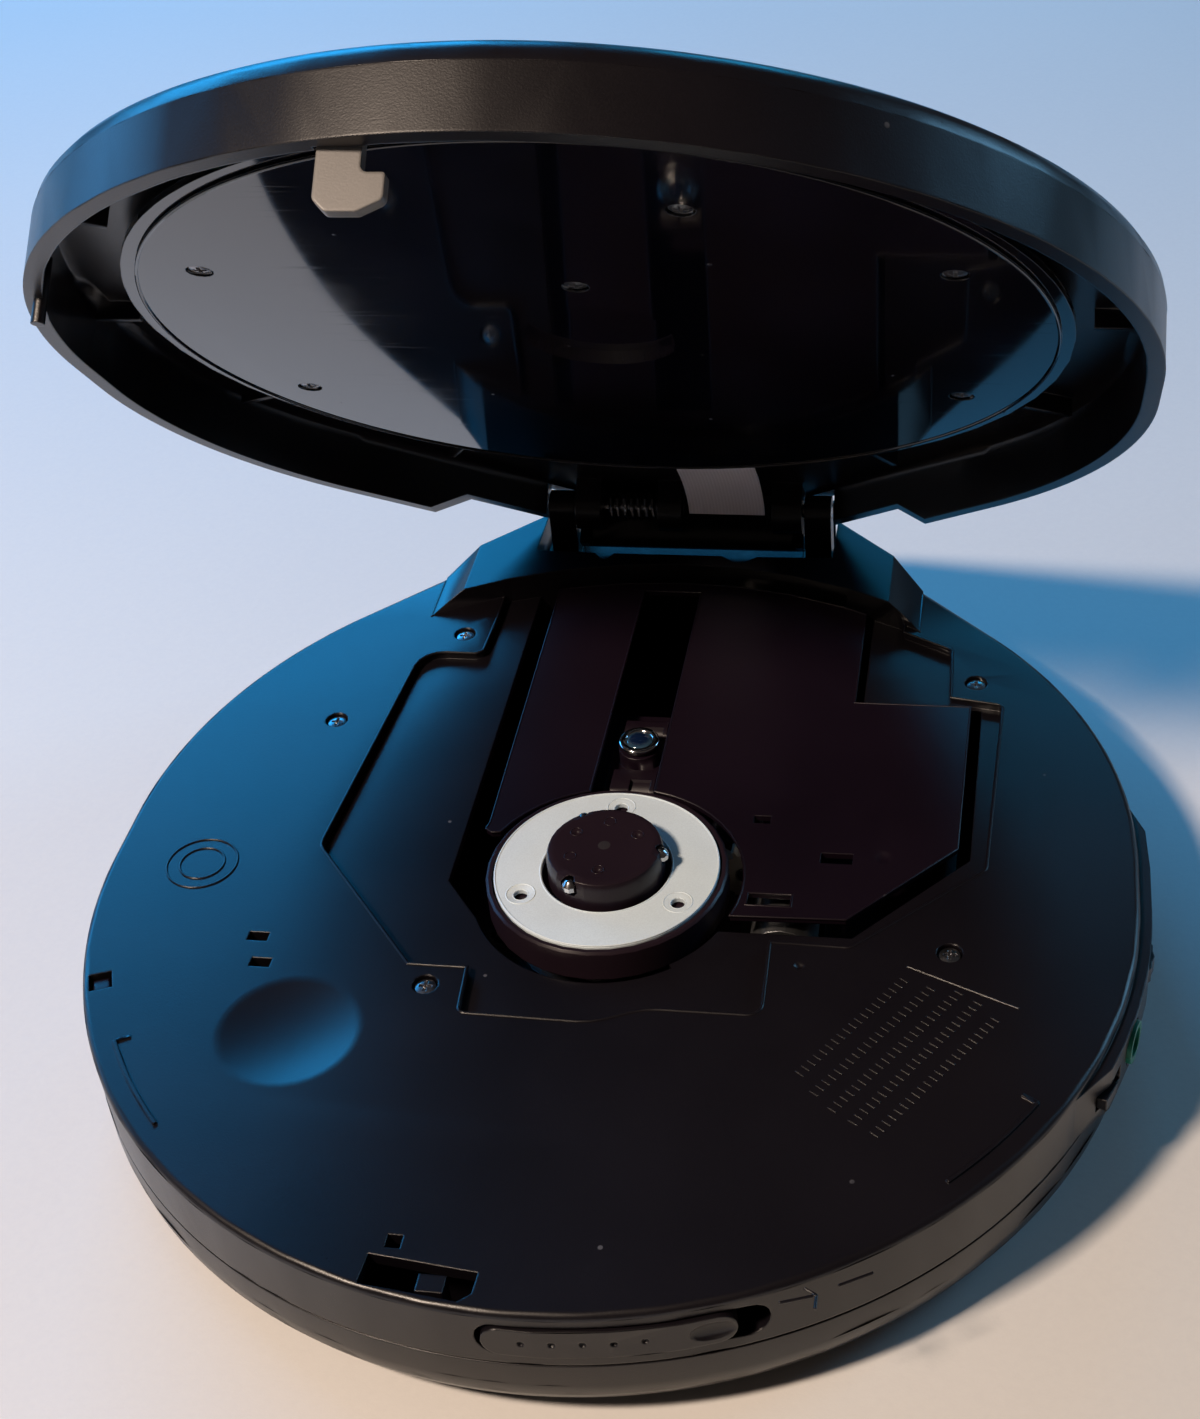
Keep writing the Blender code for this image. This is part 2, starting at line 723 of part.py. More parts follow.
def rod(start, end, radius, steps=ROUND_STEPS, end_radius=None):
    """Cylinder or cone between two points."""
    axis = Vector(end) - Vector(start)
    turn = Vector((0, 0, 1)).rotation_difference(axis).to_matrix().to_4x4()
    frame = Matrix.Translation((Vector(start) + Vector(end)) / 2) @ turn
    other = radius if end_radius is None else end_radius
    work = bmesh.new()
    bmesh.ops.create_cone(work, cap_ends=True, segments=steps, radius1=radius, radius2=other,
                          depth=axis.length, matrix=frame)
    mesh = bpy.data.meshes.new("rod")
    work.to_mesh(mesh)
    work.free()
    return guide(mesh)


def ball(centre, radius, steps=ROUND_STEPS):
    work = bmesh.new()
    bmesh.ops.create_uvsphere(work, u_segments=steps, v_segments=steps // 2, radius=radius,
                              matrix=Matrix.Translation(centre))
    mesh = bpy.data.meshes.new("ball")
    work.to_mesh(mesh)
    work.free()
    return guide(mesh)


def turned(profile, steps=ROUND_STEPS, frame=Matrix()):
    """Turned solid about the frame's Z; the profile runs down its outer side, as (radius, height)."""
    mesh = bpy.data.meshes.new("profile")
    edges = [(index, index + 1) for index in range(len(profile) - 1)]
    if profile[0][0] > 0:
        edges.append((len(profile) - 1, 0))
    mesh.from_pydata([(radius, 0, height) for radius, height in profile], edges, [])
    shape = guide(mesh)
    screw = shape.modifiers.new("turn", "SCREW")
    screw.steps = steps
    screw.render_steps = steps
    screw.use_merge_vertices = True
    screw.merge_threshold = GAP / 30
    shape.matrix_world = frame
    return shape


def wedge(inner, outer, start, end, low, high):
    """Ring sector about the disc axis, its angles in degrees."""
    points = arc((0, 0), outer, start, end) + arc((0, 0), inner, end, start)
    return prism(points, low, high)


def coil(radius, turns, start, end, wire_radius):
    """Coil spring as one tube, its least gap to itself measured between turns and printed."""
    points = spring_points(radius, turns, start, end)
    least = min((points[one] - points[two]).length
                for one in range(len(points)) for two in range(one + COIL_POINTS // 2, len(points)))
    print("Coil of", turns, "turns: least gap to itself", round((least - wire_radius * 2) * 1000, 2), "mm")
    return tube(points, wire_radius)


def spring_points(radius, turns, start, end):
    """Helix from one point to another, with points per turn that keep it round."""
    axis = Vector(end) - Vector(start)
    turn = Vector((0, 0, 1)).rotation_difference(axis).to_matrix()
    count = turns * COIL_POINTS
    points = []
    for step in range(count + 1):
        angle = math.tau * step / COIL_POINTS
        local = Vector((radius * math.cos(angle), radius * math.sin(angle), axis.length * step / count))
        points.append(Vector(start) + turn @ local)
    return points


def gear_outline(teeth):
    """Tooth outline of a small spur gear with running clearance at tips, roots and flanks."""
    pitch_radius = GEAR_MODULE * teeth / 2
    tip = pitch_radius + GEAR_MODULE * TOOTH_TIP_SHARE
    root = pitch_radius - GEAR_MODULE * TOOTH_ROOT_SHARE
    step = math.tau / teeth
    points = []
    for tooth in range(teeth):
        middle = tooth * step
        for radius, share in ((root, -0.62), (tip, -0.5), (tip, 0.5), (root, 0.62)):
            width = step * TOOTH_WIDTH_SHARE * (share if radius == root else share * 0.62)
            angle = middle + width
            points.append((radius * math.cos(angle), radius * math.sin(angle)))
    return points


def wall_frame(angle, radius, height):
    """Frame on the side wall: X points outwards, Z up."""
    turn = Matrix.Rotation(math.radians(angle), 4, "Z")
    return turn @ Matrix.Translation((radius, 0, height))


def frame_along_y(x, y, z):
    """Frame whose Z runs along +Y."""
    return Matrix.Translation((x, y, z)) @ Matrix.Rotation(math.radians(-90), 4, "X")


# Upper cabinet

def recess_outline():
    radii = [share[2] * BODY_RADIUS for share in RECESS_SHARES]
    return rounded(scaled(RECESS_SHARES), radii)


def mechanism_opening():
    """Opening in the well's floor: straight sides joined by a stepped pocket round the turntable."""
    start, middle, end = POCKET_ARC_DEGREES
    wide = arc((0, 0), POCKET_RADIUS, start, middle)
    narrow = arc((0, 0), POCKET_RADIUS - POCKET_STEP, middle, end)
    return scaled(OPENING_SHARES) + wide + narrow


def hinge_block(margin=0):
    """Raised block behind the disc, with sloping ends and a hollow round front."""
    foot = BLOCK_FOOT_HALF_WIDTH + margin
    top = BLOCK_HALF_WIDTH + margin
    low = TRAY_UNDER + OVERLAP
    outline = [(-foot, low), (foot, low), (foot, DECK_HEIGHT), (top, BLOCK_TOP + margin),
               (-top, BLOCK_TOP + margin), (-foot, DECK_HEIGHT)]
    shape = prism(outline, -(BACK_REACH + OVERRUN), -BODY_RADIUS / 2)
    placed(shape, Matrix.Rotation(math.radians(90), 4, "X"))
    if margin == 0:
        fuse(shape, block((-NOTCH_HALF_WIDTH - WALL, BODY_RADIUS * 0.9, NOTCH_BASE - NOTCH_FLOOR),
                          (NOTCH_HALF_WIDTH + WALL, BACK_REACH - WALL / 2, DECK_HEIGHT - OVERLAP)))
        keep(shape, prism(body_outline(GAP / 3), 0, LID_TOP))
    cut(shape, rod((0, 0, -OVERRUN), (0, 0, LID_TOP), BODY_RADIUS - margin, LARGE_STEPS))
    return shape


def notch_outline():
    """Notch for the lid's hinge, its front edge dipped forward where the knuckles swing."""
    front = NOTCH_FRONT
    points = [(-NOTCH_HALF_WIDTH, front)]
    for start, end, depth in NOTCH_DIP_SHARES:
        for step in range(1, 8):
            share = step / 8
            drop = (1 - math.cos(math.tau * share)) / 2 * depth
            along = start + (end - start) * share
            points.append((along * NOTCH_HALF_WIDTH, front - drop * (BACK_REACH - front)))
    points.append((NOTCH_HALF_WIDTH, front))
    points.append((NOTCH_HALF_WIDTH, BACK_REACH + OVERRUN))
    points.append((-NOTCH_HALF_WIDTH, BACK_REACH + OVERRUN))
    return points


def hinge_ears():
    ears = []
    for side in (-1, 1):
        inner = side * EAR_INNER
        outer = side * (EAR_INNER + EAR_THICKNESS)
        ear = rod((inner, HINGE_Y, HINGE_HEIGHT), (outer, HINGE_Y, HINGE_HEIGHT), EAR_RADIUS)
        stem = block((min(inner, outer), HINGE_Y - EAR_RADIUS, NOTCH_BASE - OVERLAP),
                     (max(inner, outer), HINGE_Y + EAR_RADIUS, HINGE_HEIGHT))
        ears.append(fuse(ear, stem))
    return ears


def pod_outline():
    """Bulge along the side wall that rises out of it and sinks back at its ends."""
    line = arc((0, 0), BODY_RADIUS, POD_START, 0) + arc((0, SIDE_RUN), BODY_RADIUS, 0, POD_END)
    centres = [(0, min(SIDE_RUN, max(0, y))) for x, y in line]
    span = line[-1][1] - line[0][1]
    outer = []
    inner = []
    for (x, y), centre in zip(line, centres):
        outward = (Vector((x, y)) - Vector(centre)).normalized()
        share = (y - line[0][1]) / span
        ease = min(1, share / POD_TAPER_SHARE, (1 - share) / POD_TAPER_SHARE)
        ease = ease * ease * (3 - 2 * ease)
        outer.append(tuple(Vector((x, y)) + outward * ((POD_PROUD + POD_ROOT / 2) * ease - POD_ROOT / 2)))
        inner.append(tuple(Vector((x, y)) - outward * POD_ROOT))
    return outer + inner[::-1]


def pod_cutters():
    """Holes through the pod for the two sockets, the hold switch and the volume wheel."""
    height = DECK_HEIGHT - JACK_DROP
    inner = BODY_RADIUS - WALL * 2 - OVERRUN
    reach = POD_RADIUS + OVERRUN - inner
    jack = rod((0, 0, 0), (reach, 0, 0), JACK_HOLE_RADIUS)
    power = rod((0, 0, 0), (reach, 0, 0), POWER_BORE_RADIUS + GAP * 3)
    placed(jack, wall_frame(JACK_ANGLE, inner, height))
    placed(power, wall_frame(POWER_ANGLE, inner, height))
    half = HOLD_LENGTH / 2 + HOLD_SLOT_CLEARANCE
    tall = HOLD_HEIGHT / 2 + HOLD_SLOT_CLEARANCE
    hold = block((0, -half, -tall), (reach, half + HOLD_TRAVEL, tall))
    placed(hold, wall_frame(HOLD_ANGLE, inner, height))
    wheel = rod((0, 0, -VOLUME_THICKNESS / 2 - GAP), (0, 0, VOLUME_THICKNESS / 2 + GAP),
                VOLUME_RADIUS + GAP, MEDIUM_STEPS)
    placed(wheel, wall_frame(VOLUME_ANGLE, volume_centre(), height))
    return [jack, power, hold, wheel]


def volume_centre():
    return POD_RADIUS + VOLUME_PROUD - VOLUME_RADIUS


def deck_ridges():
    """Two thin arcs near the rim, each with a short tick at its outer end."""
    ridges = []
    for start, end in RIDGE_ARCS:
        outer = start if start < 270 else end
        low = DECK_HEIGHT - OVERLAP
        high = DECK_HEIGHT + RIDGE_HEIGHT
        ridges.append(wedge(RIDGE_RADIUS - RIDGE_WIDTH, RIDGE_RADIUS, start, end, low, high))
        tick = block((RIDGE_RADIUS - RIDGE_TICK, -RIDGE_WIDTH / 2, low - OVERLAP),
                     (RIDGE_RADIUS - RIDGE_WIDTH / 2, RIDGE_WIDTH / 2, high - RIDGE_HEIGHT / 4))
        ridges.append(placed(tick, Matrix.Rotation(math.radians(outer), 4, "Z")))
    return ridges


def deck_cutters():
    """Small holes and hollows of the deck."""
    above = DECK_HEIGHT + OVERRUN
    below = TRAY_UNDER - OVERRUN
    cutters = []
    for share in SCREW_SHARES:
        x, y = place(share)
        profile = [(0, above), (SCREW_HEAD_RADIUS + GAP, above),
                   (SCREW_HEAD_RADIUS + GAP, DECK_HEIGHT - SCREW_HEAD_HEIGHT - SCREW_SINK - GAP),
                   (SCREW_SHANK_RADIUS + GAP, DECK_HEIGHT - SCREW_HEAD_HEIGHT - SCREW_SINK - GAP),
                   (SCREW_SHANK_RADIUS + GAP, below), (0, below)]
        cutters.append(turned(profile, SMALL_STEPS, Matrix.Translation((x, y, 0))))
    half = SWITCH_HOLE / 2
    deep = -PLUNGER_DROP - PLUNGER_LENGTH - PLUNGER_TRAVEL - PLUNGER_CLEARANCE
    cutters.append(placed(block((-half, -half, deep), (half, half, OVERRUN)), lid_pin_frame()))
    for share in SMALL_SLOT_SHARES:
        x, y = place(share)
        cutters.append(block((x - SMALL_SLOT_LENGTH / 2, y - SMALL_SLOT_WIDTH / 2, below),
                             (x + SMALL_SLOT_LENGTH / 2, y + SMALL_SLOT_WIDTH / 2, above)))
    x, y = place(SQUARE_HOLE_SHARES)
    half = SQUARE_HOLE / 2
    cutters.append(block((x - half, y - half, below), (x + half, y + half, above)))
    cutters.append(dish(place(THUMB_DISH_SHARES), DECK_HEIGHT, THUMB_DISH_RADIUS, THUMB_DISH_DEPTH, MEDIUM_STEPS))
    cutters.append(dish(place(DIMPLE_SHARES), DECK_HEIGHT, DIMPLE_RADIUS, DIMPLE_DEPTH, SMALL_STEPS))
    cutters.append(prism(scaled(LATCH_SLOT_SHARES), below, above))
    return cutters


def dish(centre, height, radius, depth, steps):
    """Shallow round hollow: a turned bowl that crosses the surface at its radius."""
    profile = [(0, height + OVERRUN)]
    for share in WIDE_DISH_SHARES if steps > SMALL_STEPS else SMALL_DISH_SHARES:
        across = radius * share
        profile.append((across, height - depth * (1 - share * share)))
    profile.insert(1, (profile[1][0], height + OVERRUN))
    profile.append((0, height - depth))
    return turned(profile, steps, Matrix.Translation((*centre, 0)))


def sink(centre, height, radius, depth, bore, low, steps=SMALL_STEPS):
    """Hole down to a level, with a countersink at its mouth."""
    mouth = radius + (radius - bore) * OVERRUN / depth
    profile = [(0, height + OVERRUN), (mouth, height + OVERRUN), (bore, height - depth), (bore, low - OVERRUN),
               (0, low - OVERRUN)]
    return turned(profile, steps, Matrix.Translation((*centre, 0)))


def slider_slot():
    clearance = math.degrees(SLIDER_SLOT_CLEARANCE / BODY_RADIUS)
    start = SLIDER_START - clearance - 90
    end = SLIDER_END + OPENER_TRAVEL_DEGREES + clearance - 90
    half = SLIDER_HEIGHT / 2 + SLIDER_SLOT_CLEARANCE
    inner = BODY_RADIUS - WALL - OVERRUN
    return pill(inner, BODY_RADIUS + OVERRUN, start, end, SLIDER_MIDDLE, half)


def pill(inner, outer, start, end, middle, half):
    """Curved bar with round ends on the front wall, between two angles and two radii."""
    reach = outer * math.sin(math.radians(end - start) / 2)
    outline = rounded([(-reach, -half), (reach, -half), (reach, half), (-reach, half)], [half] * 4)
    shape = prism(outline, inner * 0.9, outer * 1.1)
    upright = Matrix(((0, 0, 1, 0), (1, 0, 0, 0), (0, 1, 0, 0), (0, 0, 0, 1)))
    placed(shape, wall_frame((start + end) / 2, 0, middle) @ upright)
    margin = math.degrees(half / BODY_RADIUS)
    return keep(shape, wedge(inner, outer, start - margin, end + margin, middle - half * 2, middle + half * 2))


def build_upper_cabinet():
    low = SEAM + GAP
    shell = soften(prism(body_outline(), low, DECK_HEIGHT), DECK_HEIGHT, RIM_ROUND, 3)
    cut(shell, prism(body_outline(WALL), low - OVERRUN, DECK_UNDER))
    tray = prism(grown(scaled(RECESS_SHARES), TRAY_MARGIN), TRAY_UNDER, DECK_HEIGHT - RECESS_DEPTH / 2)
    keep(tray, prism(body_outline(WALL / 2), 0, LID_TOP))
    fuse(shell, tray)
    cut(shell, prism(recess_outline(), WELL_FLOOR, DECK_HEIGHT + OVERRUN))
    cut(shell, prism(mechanism_opening(), TRAY_UNDER - OVERRUN, DECK_HEIGHT))
    fuse(shell, hinge_block())
    cut(shell, prism(notch_outline(), NOTCH_BASE, LID_TOP))
    fuse(shell, *hinge_ears())
    for side in (-1, 1):
        start = (side * (EAR_INNER - OVERRUN), HINGE_Y, HINGE_HEIGHT)
        end = (side * (EAR_INNER + EAR_THICKNESS + OVERRUN), HINGE_Y, HINGE_HEIGHT)
        cut(shell, rod(start, end, PIN_RADIUS + GAP, SMALL_STEPS))
    fuse(shell, prism(pod_outline(), low + OVERLAP / 2, DECK_HEIGHT - POD_DROP))
    fuse(shell, *deck_ridges())
    cut(shell, slider_slot())
    cut(shell, *deck_cutters())
    cut(shell, *pod_cutters())
    part(shell, "upper_cabinet", "shell")


# Lower shell

def case_screw_places():
    return [place(share) for share in SCREW_SHARES]


def foot_places():
    places = []
    for angle in FOOT_FRONT_DEGREES:
        turn = math.radians(angle)
        places.append((FOOT_ORBIT * math.cos(turn), FOOT_ORBIT * math.sin(turn)))
    for angle in FOOT_REAR_DEGREES:
        turn = math.radians(angle)
        places.append((FOOT_ORBIT * math.cos(turn), FOOT_ORBIT * math.sin(turn) + SIDE_RUN))
    return places


def build_lower_shell():
    shell = soften(prism(body_outline(), UNDERSIDE, SEAM), UNDERSIDE, BOTTOM_ROUND, 5)
    hollow = prism(body_outline(WALL), FLOOR, SEAM + OVERRUN)
    soften(hollow, FLOOR, BOTTOM_ROUND - WALL, 2)
    cut(shell, hollow)
    for x, y in foot_places():
        fuse(shell, rod((x, y, UNDERSIDE + OVERLAP), (x, y, FLOOR + FOOT_SINK), FOOT_RADIUS + FOOT_SEAT_WALL, SMALL_STEPS))
    for x, y in case_screw_places():
        fuse(shell, rod((x, y, FLOOR - OVERLAP), (x, y, DECK_UNDER - GAP), POST_RADIUS, SMALL_STEPS))
    for x, y in board_post_places():
        fuse(shell, rod((x, y, FLOOR - OVERLAP), (x, y, BOARD_LOW - GAP), BOARD_POST_RADIUS, SMALL_STEPS))
    x, y = latch_post_place()
    fuse(shell, rod((x, y, FLOOR - OVERLAP), (x, y, BAR_LOW + BAR_HEIGHT), LATCH_POST_RADIUS, SMALL_STEPS))
    for x, y in scaled(DAMPER_SHARES):
        shoulder = CHASSIS_LOW - GAP * 2 - DAMPER_HEIGHT
        fuse(shell, rod((x, y, FLOOR - OVERLAP), (x, y, shoulder), DAMPER_RADIUS, SMALL_STEPS))
        fuse(shell, rod((x, y, FLOOR), (x, y, CHASSIS_TOP), DAMPER_PIN_RADIUS, SMALL_STEPS))
    fuse(shell, block((-BAY_HALF_LENGTH - BAY_WALL, BAY_FRONT - BAY_WALL, UNDERSIDE + OVERLAP),
                      (BAY_HALF_LENGTH + BAY_WALL, BAY_BACK + BAY_WALL, TRAY_UNDER - GAP)))
    cut(shell, block((-BAY_HALF_LENGTH, BAY_FRONT, UNDERSIDE - OVERRUN),
                     (BAY_HALF_LENGTH, BAY_BACK, DECK_HEIGHT)))
    door_y, door_z = door_axis()
    for side in (-1, 1):
        cut(shell, rod((side * (BAY_HALF_LENGTH - OVERRUN), door_y, door_z),
                       (side * (BAY_HALF_LENGTH + TRUNNION_LENGTH), door_y, door_z),
                       TRUNNION_RADIUS + GAP, SMALL_STEPS))
    for x, y in foot_places():
        cut(shell, rod((x, y, UNDERSIDE - OVERRUN), (x, y, UNDERSIDE + FOOT_SINK), FOOT_RADIUS + GAP))
    for x, y in case_screw_places():
        cut(shell, rod((x, y, DECK_UNDER - SCREW_LENGTH - OVERRUN), (x, y, DECK_HEIGHT),
                       SCREW_SHANK_RADIUS + GAP, SMALL_STEPS))
    cut(shell, rod((0, 0, UNDERSIDE - OVERRUN), (0, 0, 0), PANEL_RADIUS, LARGE_STEPS))
    part(shell, "lower_shell", "shell")


def build_feet():
    names = ("foot_front_left", "foot_front_right", "foot_rear_left", "foot_rear_right")
    low = UNDERSIDE - FOOT_PROUD
    for name, (x, y) in zip(names, foot_places()):
        foot = rod((x, y, low), (x, y, UNDERSIDE + FOOT_SINK - GAP), FOOT_RADIUS)
        part(soften(foot, low, FOOT_PROUD / 3, 2), name, "rubber")


# Battery bay

def door_axis():
    return (BAY_BACK - DOOR_HINGE_INSET, UNDERSIDE + DOOR_THICKNESS * 0.7)


def build_battery_door():
    door_y, door_z = door_axis()
    back = door_y + DOOR_THICKNESS * 0.75
    door = prism(rectangle(-BAY_HALF_LENGTH + GAP, BAY_HALF_LENGTH - GAP, BAY_FRONT + GAP, back),
                 UNDERSIDE, UNDERSIDE + DOOR_THICKNESS)
    fuse(door, rod((-BAY_HALF_LENGTH - TRUNNION_LENGTH + GAP, door_y, door_z),
                   (BAY_HALF_LENGTH + TRUNNION_LENGTH - GAP, door_y, door_z), TRUNNION_RADIUS, SMALL_STEPS))
    for row in range(4):
        y = BAY_FRONT + DOOR_GRIP_WIDTH * (0.25 + row * 0.12)
        cut(door, block((-DOOR_GRIP_WIDTH / 2, y, UNDERSIDE - OVERRUN),
                        (DOOR_GRIP_WIDTH / 2, y + DOOR_GRIP_DEPTH, UNDERSIDE + DOOR_GRIP_DEPTH)))
    part(door, "battery_door", "shell")


def contact_plate(side, first_row, last_row):
    """Flat contact on an end wall of the bay, over one cell or across both."""
    middle = FLOOR + CELL_DIAMETER / 2
    wall = side * (BAY_HALF_LENGTH - GAP)
    face = wall - side * CONTACT_THICKNESS
    back = cell_row(first_row) + CONTACT_RADIUS
    front = cell_row(last_row) - CONTACT_RADIUS
    return block((min(wall, face), front, middle - CONTACT_RADIUS), (max(wall, face), back, middle + CONTACT_RADIUS))


def contact_spring(side, row):
    """Coil that presses a cell's flat end, from inside its plate."""
    middle = FLOOR + CELL_DIAMETER / 2
    root = side * (BAY_HALF_LENGTH - GAP - CONTACT_THICKNESS)
    tip = side * (BAY_HALF_LENGTH - CONTACT_ROOM)
    y = cell_row(row)
    return coil(CONTACT_COIL_RADIUS, CONTACT_TURNS, (root, y, middle), (tip, y, middle), CONTACT_WIRE_RADIUS)


def cell_row(row):
    """Middle of a cell, counted from the back of the bay."""
    return BAY_BACK - CELL_DIAMETER * (0.5 + row) - CELL_PLAY * (1 + row) / 3


def build_battery_contacts():
    link = fuse(contact_plate(1, 0, 1), contact_spring(1, 1))
    part(link, "contact_link", "steel")
    part(fuse(contact_plate(-1, 0, 0), contact_spring(-1, 0)), "contact_negative", "steel")
    part(contact_plate(-1, 1, 1), "contact_positive", "steel")


# Circuit board

def board_post_places():
    return [(BOARD_LEFT + BOARD_POST_RADIUS * 3, BOARD_FRONT + BOARD_POST_RADIUS * 2),
            (BOARD_RIGHT - BOARD_POST_RADIUS * 2, BOARD_FRONT + BOARD_POST_RADIUS * 2),
            (BOARD_RIGHT - BOARD_POST_RADIUS * 2, BOARD_BACK - BOARD_POST_RADIUS * 2)]


def build_main_board():
    top = BOARD_LOW + BOARD_THICKNESS
    board = prism(rectangle(BOARD_LEFT, BOARD_RIGHT, BOARD_FRONT, BOARD_BACK, BOARD_NOTCH / 2), BOARD_LOW, top)
    keep(board, prism(body_outline(WALL + GAP * 3), 0, DECK_HEIGHT))
    for x, y in case_screw_places():
        cut(board, rod((x, y, 0), (x, y, DECK_HEIGHT), BOARD_NOTCH, SMALL_STEPS))
    length = BOARD_BACK - BOARD_FRONT
    for share_x, share_y, wide, deep in CHIP_SHARES:
        x = BOARD_LEFT + (BOARD_RIGHT - BOARD_LEFT) * share_x
        y = BOARD_FRONT + length * share_y
        half_x = (BOARD_RIGHT - BOARD_LEFT) * wide / 2
        half_y = length * deep / 2
        fuse(board, block((x - half_x, y - half_y, top - OVERLAP), (x + half_x, y + half_y, top + CHIP_HEIGHT)))
    part(board, "main_board", "board")


# Mechanism

def build_chassis():
    plate = prism(scaled(CHASSIS_SHARES), CHASSIS_LOW, CHASSIS_TOP)
    rod_back = rod_end()
    cut(plate, block((-ROD_SPREAD + ROD_RADIUS, ROD_START + BRACKET_LENGTH, 0),
                     (ROD_SPREAD - ROD_RADIUS, rod_back - BRACKET_LENGTH, DECK_HEIGHT)))
    gear_tip = GEAR_MODULE * GEAR_TEETH / 2 + GEAR_MODULE
    cut(plate, block((SCREW_OFFSET - gear_tip, ROD_START - BRACKET_LENGTH - GEAR_WIDTH - GAP * 2, 0),
                     (DRIVE_OFFSET + SLED_MOTOR_RADIUS + GAP, ROD_START - GAP, DECK_HEIGHT)))
    cut(plate, block((DRIVE_OFFSET - SLED_MOTOR_RADIUS - GAP, motor_front() - GAP, 0),
                     (DRIVE_OFFSET + SLED_MOTOR_RADIUS + GAP, ROD_START - GAP, DECK_HEIGHT)))
    for x, y in scaled(DAMPER_SHARES):
        cut(plate, rod((x, y, 0), (x, y, DECK_HEIGHT), DAMPER_PIN_RADIUS + GAP * 2, SMALL_STEPS))
    cut(plate, rod((0, 0, 0), (0, 0, DECK_HEIGHT), SHAFT_RADIUS + GAP * 2, SMALL_STEPS))
    for y in (ROD_START, rod_back - BRACKET_LENGTH):
        fuse(plate, block((-ROD_SPREAD - ROD_RADIUS - BRACKET_MARGIN, y, CHASSIS_TOP - OVERLAP),
                          (SCREW_OFFSET + FEED_RADIUS + BRACKET_MARGIN, y + BRACKET_LENGTH,
                           ROD_HEIGHT + FEED_RADIUS + BRACKET_MARGIN / 2)))
        for x in (-ROD_SPREAD, ROD_SPREAD):
            cut(plate, rod((x, y - OVERRUN, ROD_HEIGHT), (x, y + BRACKET_LENGTH + OVERRUN, ROD_HEIGHT),
                           ROD_RADIUS + GAP, SMALL_STEPS))
        cut(plate, rod((SCREW_OFFSET, y - OVERRUN, ROD_HEIGHT), (SCREW_OFFSET, y + BRACKET_LENGTH + OVERRUN, ROD_HEIGHT),
                       FEED_RADIUS + GAP, SMALL_STEPS))
    cut(plate, block((-SLED_NOSE_HALF_WIDTH * 2, ROD_START - OVERRUN, CHASSIS_TOP),
                     (SLED_NOSE_HALF_WIDTH * 2, ROD_START + BRACKET_LENGTH + OVERRUN, DECK_HEIGHT)))
    part(plate, "mechanism_chassis", "mechanism")


def build_mechanism_cover():
    start, end = COVER_ARC_DEGREES
    cover = prism(scaled(COVER_SHARES) + arc((0, 0), POCKET_RADIUS, start, end), COVER_UNDER, COVER_TOP)
    keep(cover, rod((0, 0, 0), (0, 0, LID_TOP), COVER_REACH, LARGE_STEPS))
    cut(cover, block((-SLOT_LEFT, 0, 0), (SLOT_RIGHT, SLOT_END, LID_TOP)))
    for x, y in scaled(COVER_POST_SHARES):
        fuse(cover, rod((x, y, CHASSIS_TOP + GAP), (x, y, COVER_TOP - OVERLAP), COVER_POST_RADIUS, SMALL_STEPS))
    for share_x, share_y, wide, deep in COVER_HOLE_SHARES:
        x, y = place((share_x, share_y))
        half_x, half_y = place((wide / 2, deep / 2))
        cut(cover, block((x - half_x, y - half_y, COVER_UNDER - OVERRUN), (x + half_x, y + half_y, LID_TOP)))
    cut(cover, dish(place(COVER_DISH_SHARES), COVER_TOP, COVER_DISH_RADIUS, COVER_DISH_DEPTH, SMALL_STEPS))
    part(cover, "mechanism_cover", "mechanism")


def build_dampers():
    names = ("damper_front", "damper_right", "damper_rear")
    for name, (x, y) in zip(names, scaled(DAMPER_SHARES)):
        low = CHASSIS_LOW - GAP - DAMPER_HEIGHT
        high = CHASSIS_LOW - GAP
        inner = DAMPER_PIN_RADIUS + GAP
        waist = DAMPER_RADIUS * 0.85
        profile = [(DAMPER_RADIUS, high), (waist, (low + high) / 2), (DAMPER_RADIUS, low), (inner, low), (inner, high)]
        part(turned(profile, SMALL_STEPS, Matrix.Translation((x, y, 0))), name, "rubber")


def build_spindle():
    low = CHASSIS_TOP + GAP
    bore = SHAFT_RADIUS + GAP
    stator_top = low + STATOR_HEIGHT
    core_top = ROTOR_TOP - ROTOR_WALL - GAP
    stator = turned([(STATOR_RADIUS, stator_top), (STATOR_RADIUS, low), (bore, low), (bore, core_top),
                     (STATOR_CORE_RADIUS, core_top), (STATOR_CORE_RADIUS, stator_top)], ROUND_STEPS)
    part(stator, "spindle_motor", "dark_steel")
    rotor_under = ROTOR_TOP - ROTOR_WALL
    rotor = turned([(ROTOR_RADIUS, ROTOR_TOP), (ROTOR_RADIUS, stator_top + GAP),
                    (ROTOR_RADIUS - ROTOR_WALL, stator_top + GAP), (ROTOR_RADIUS - ROTOR_WALL, rotor_under),
                    (bore, rotor_under), (bore, ROTOR_TOP)], ROUND_STEPS)
    part(rotor, "motor_rotor", "dark_steel")
    shaft = rod((0, 0, CHASSIS_LOW), (0, 0, SEAT_HEIGHT - GAP), SHAFT_RADIUS, SMALL_STEPS)
    part(shaft, "spindle_shaft", "steel")


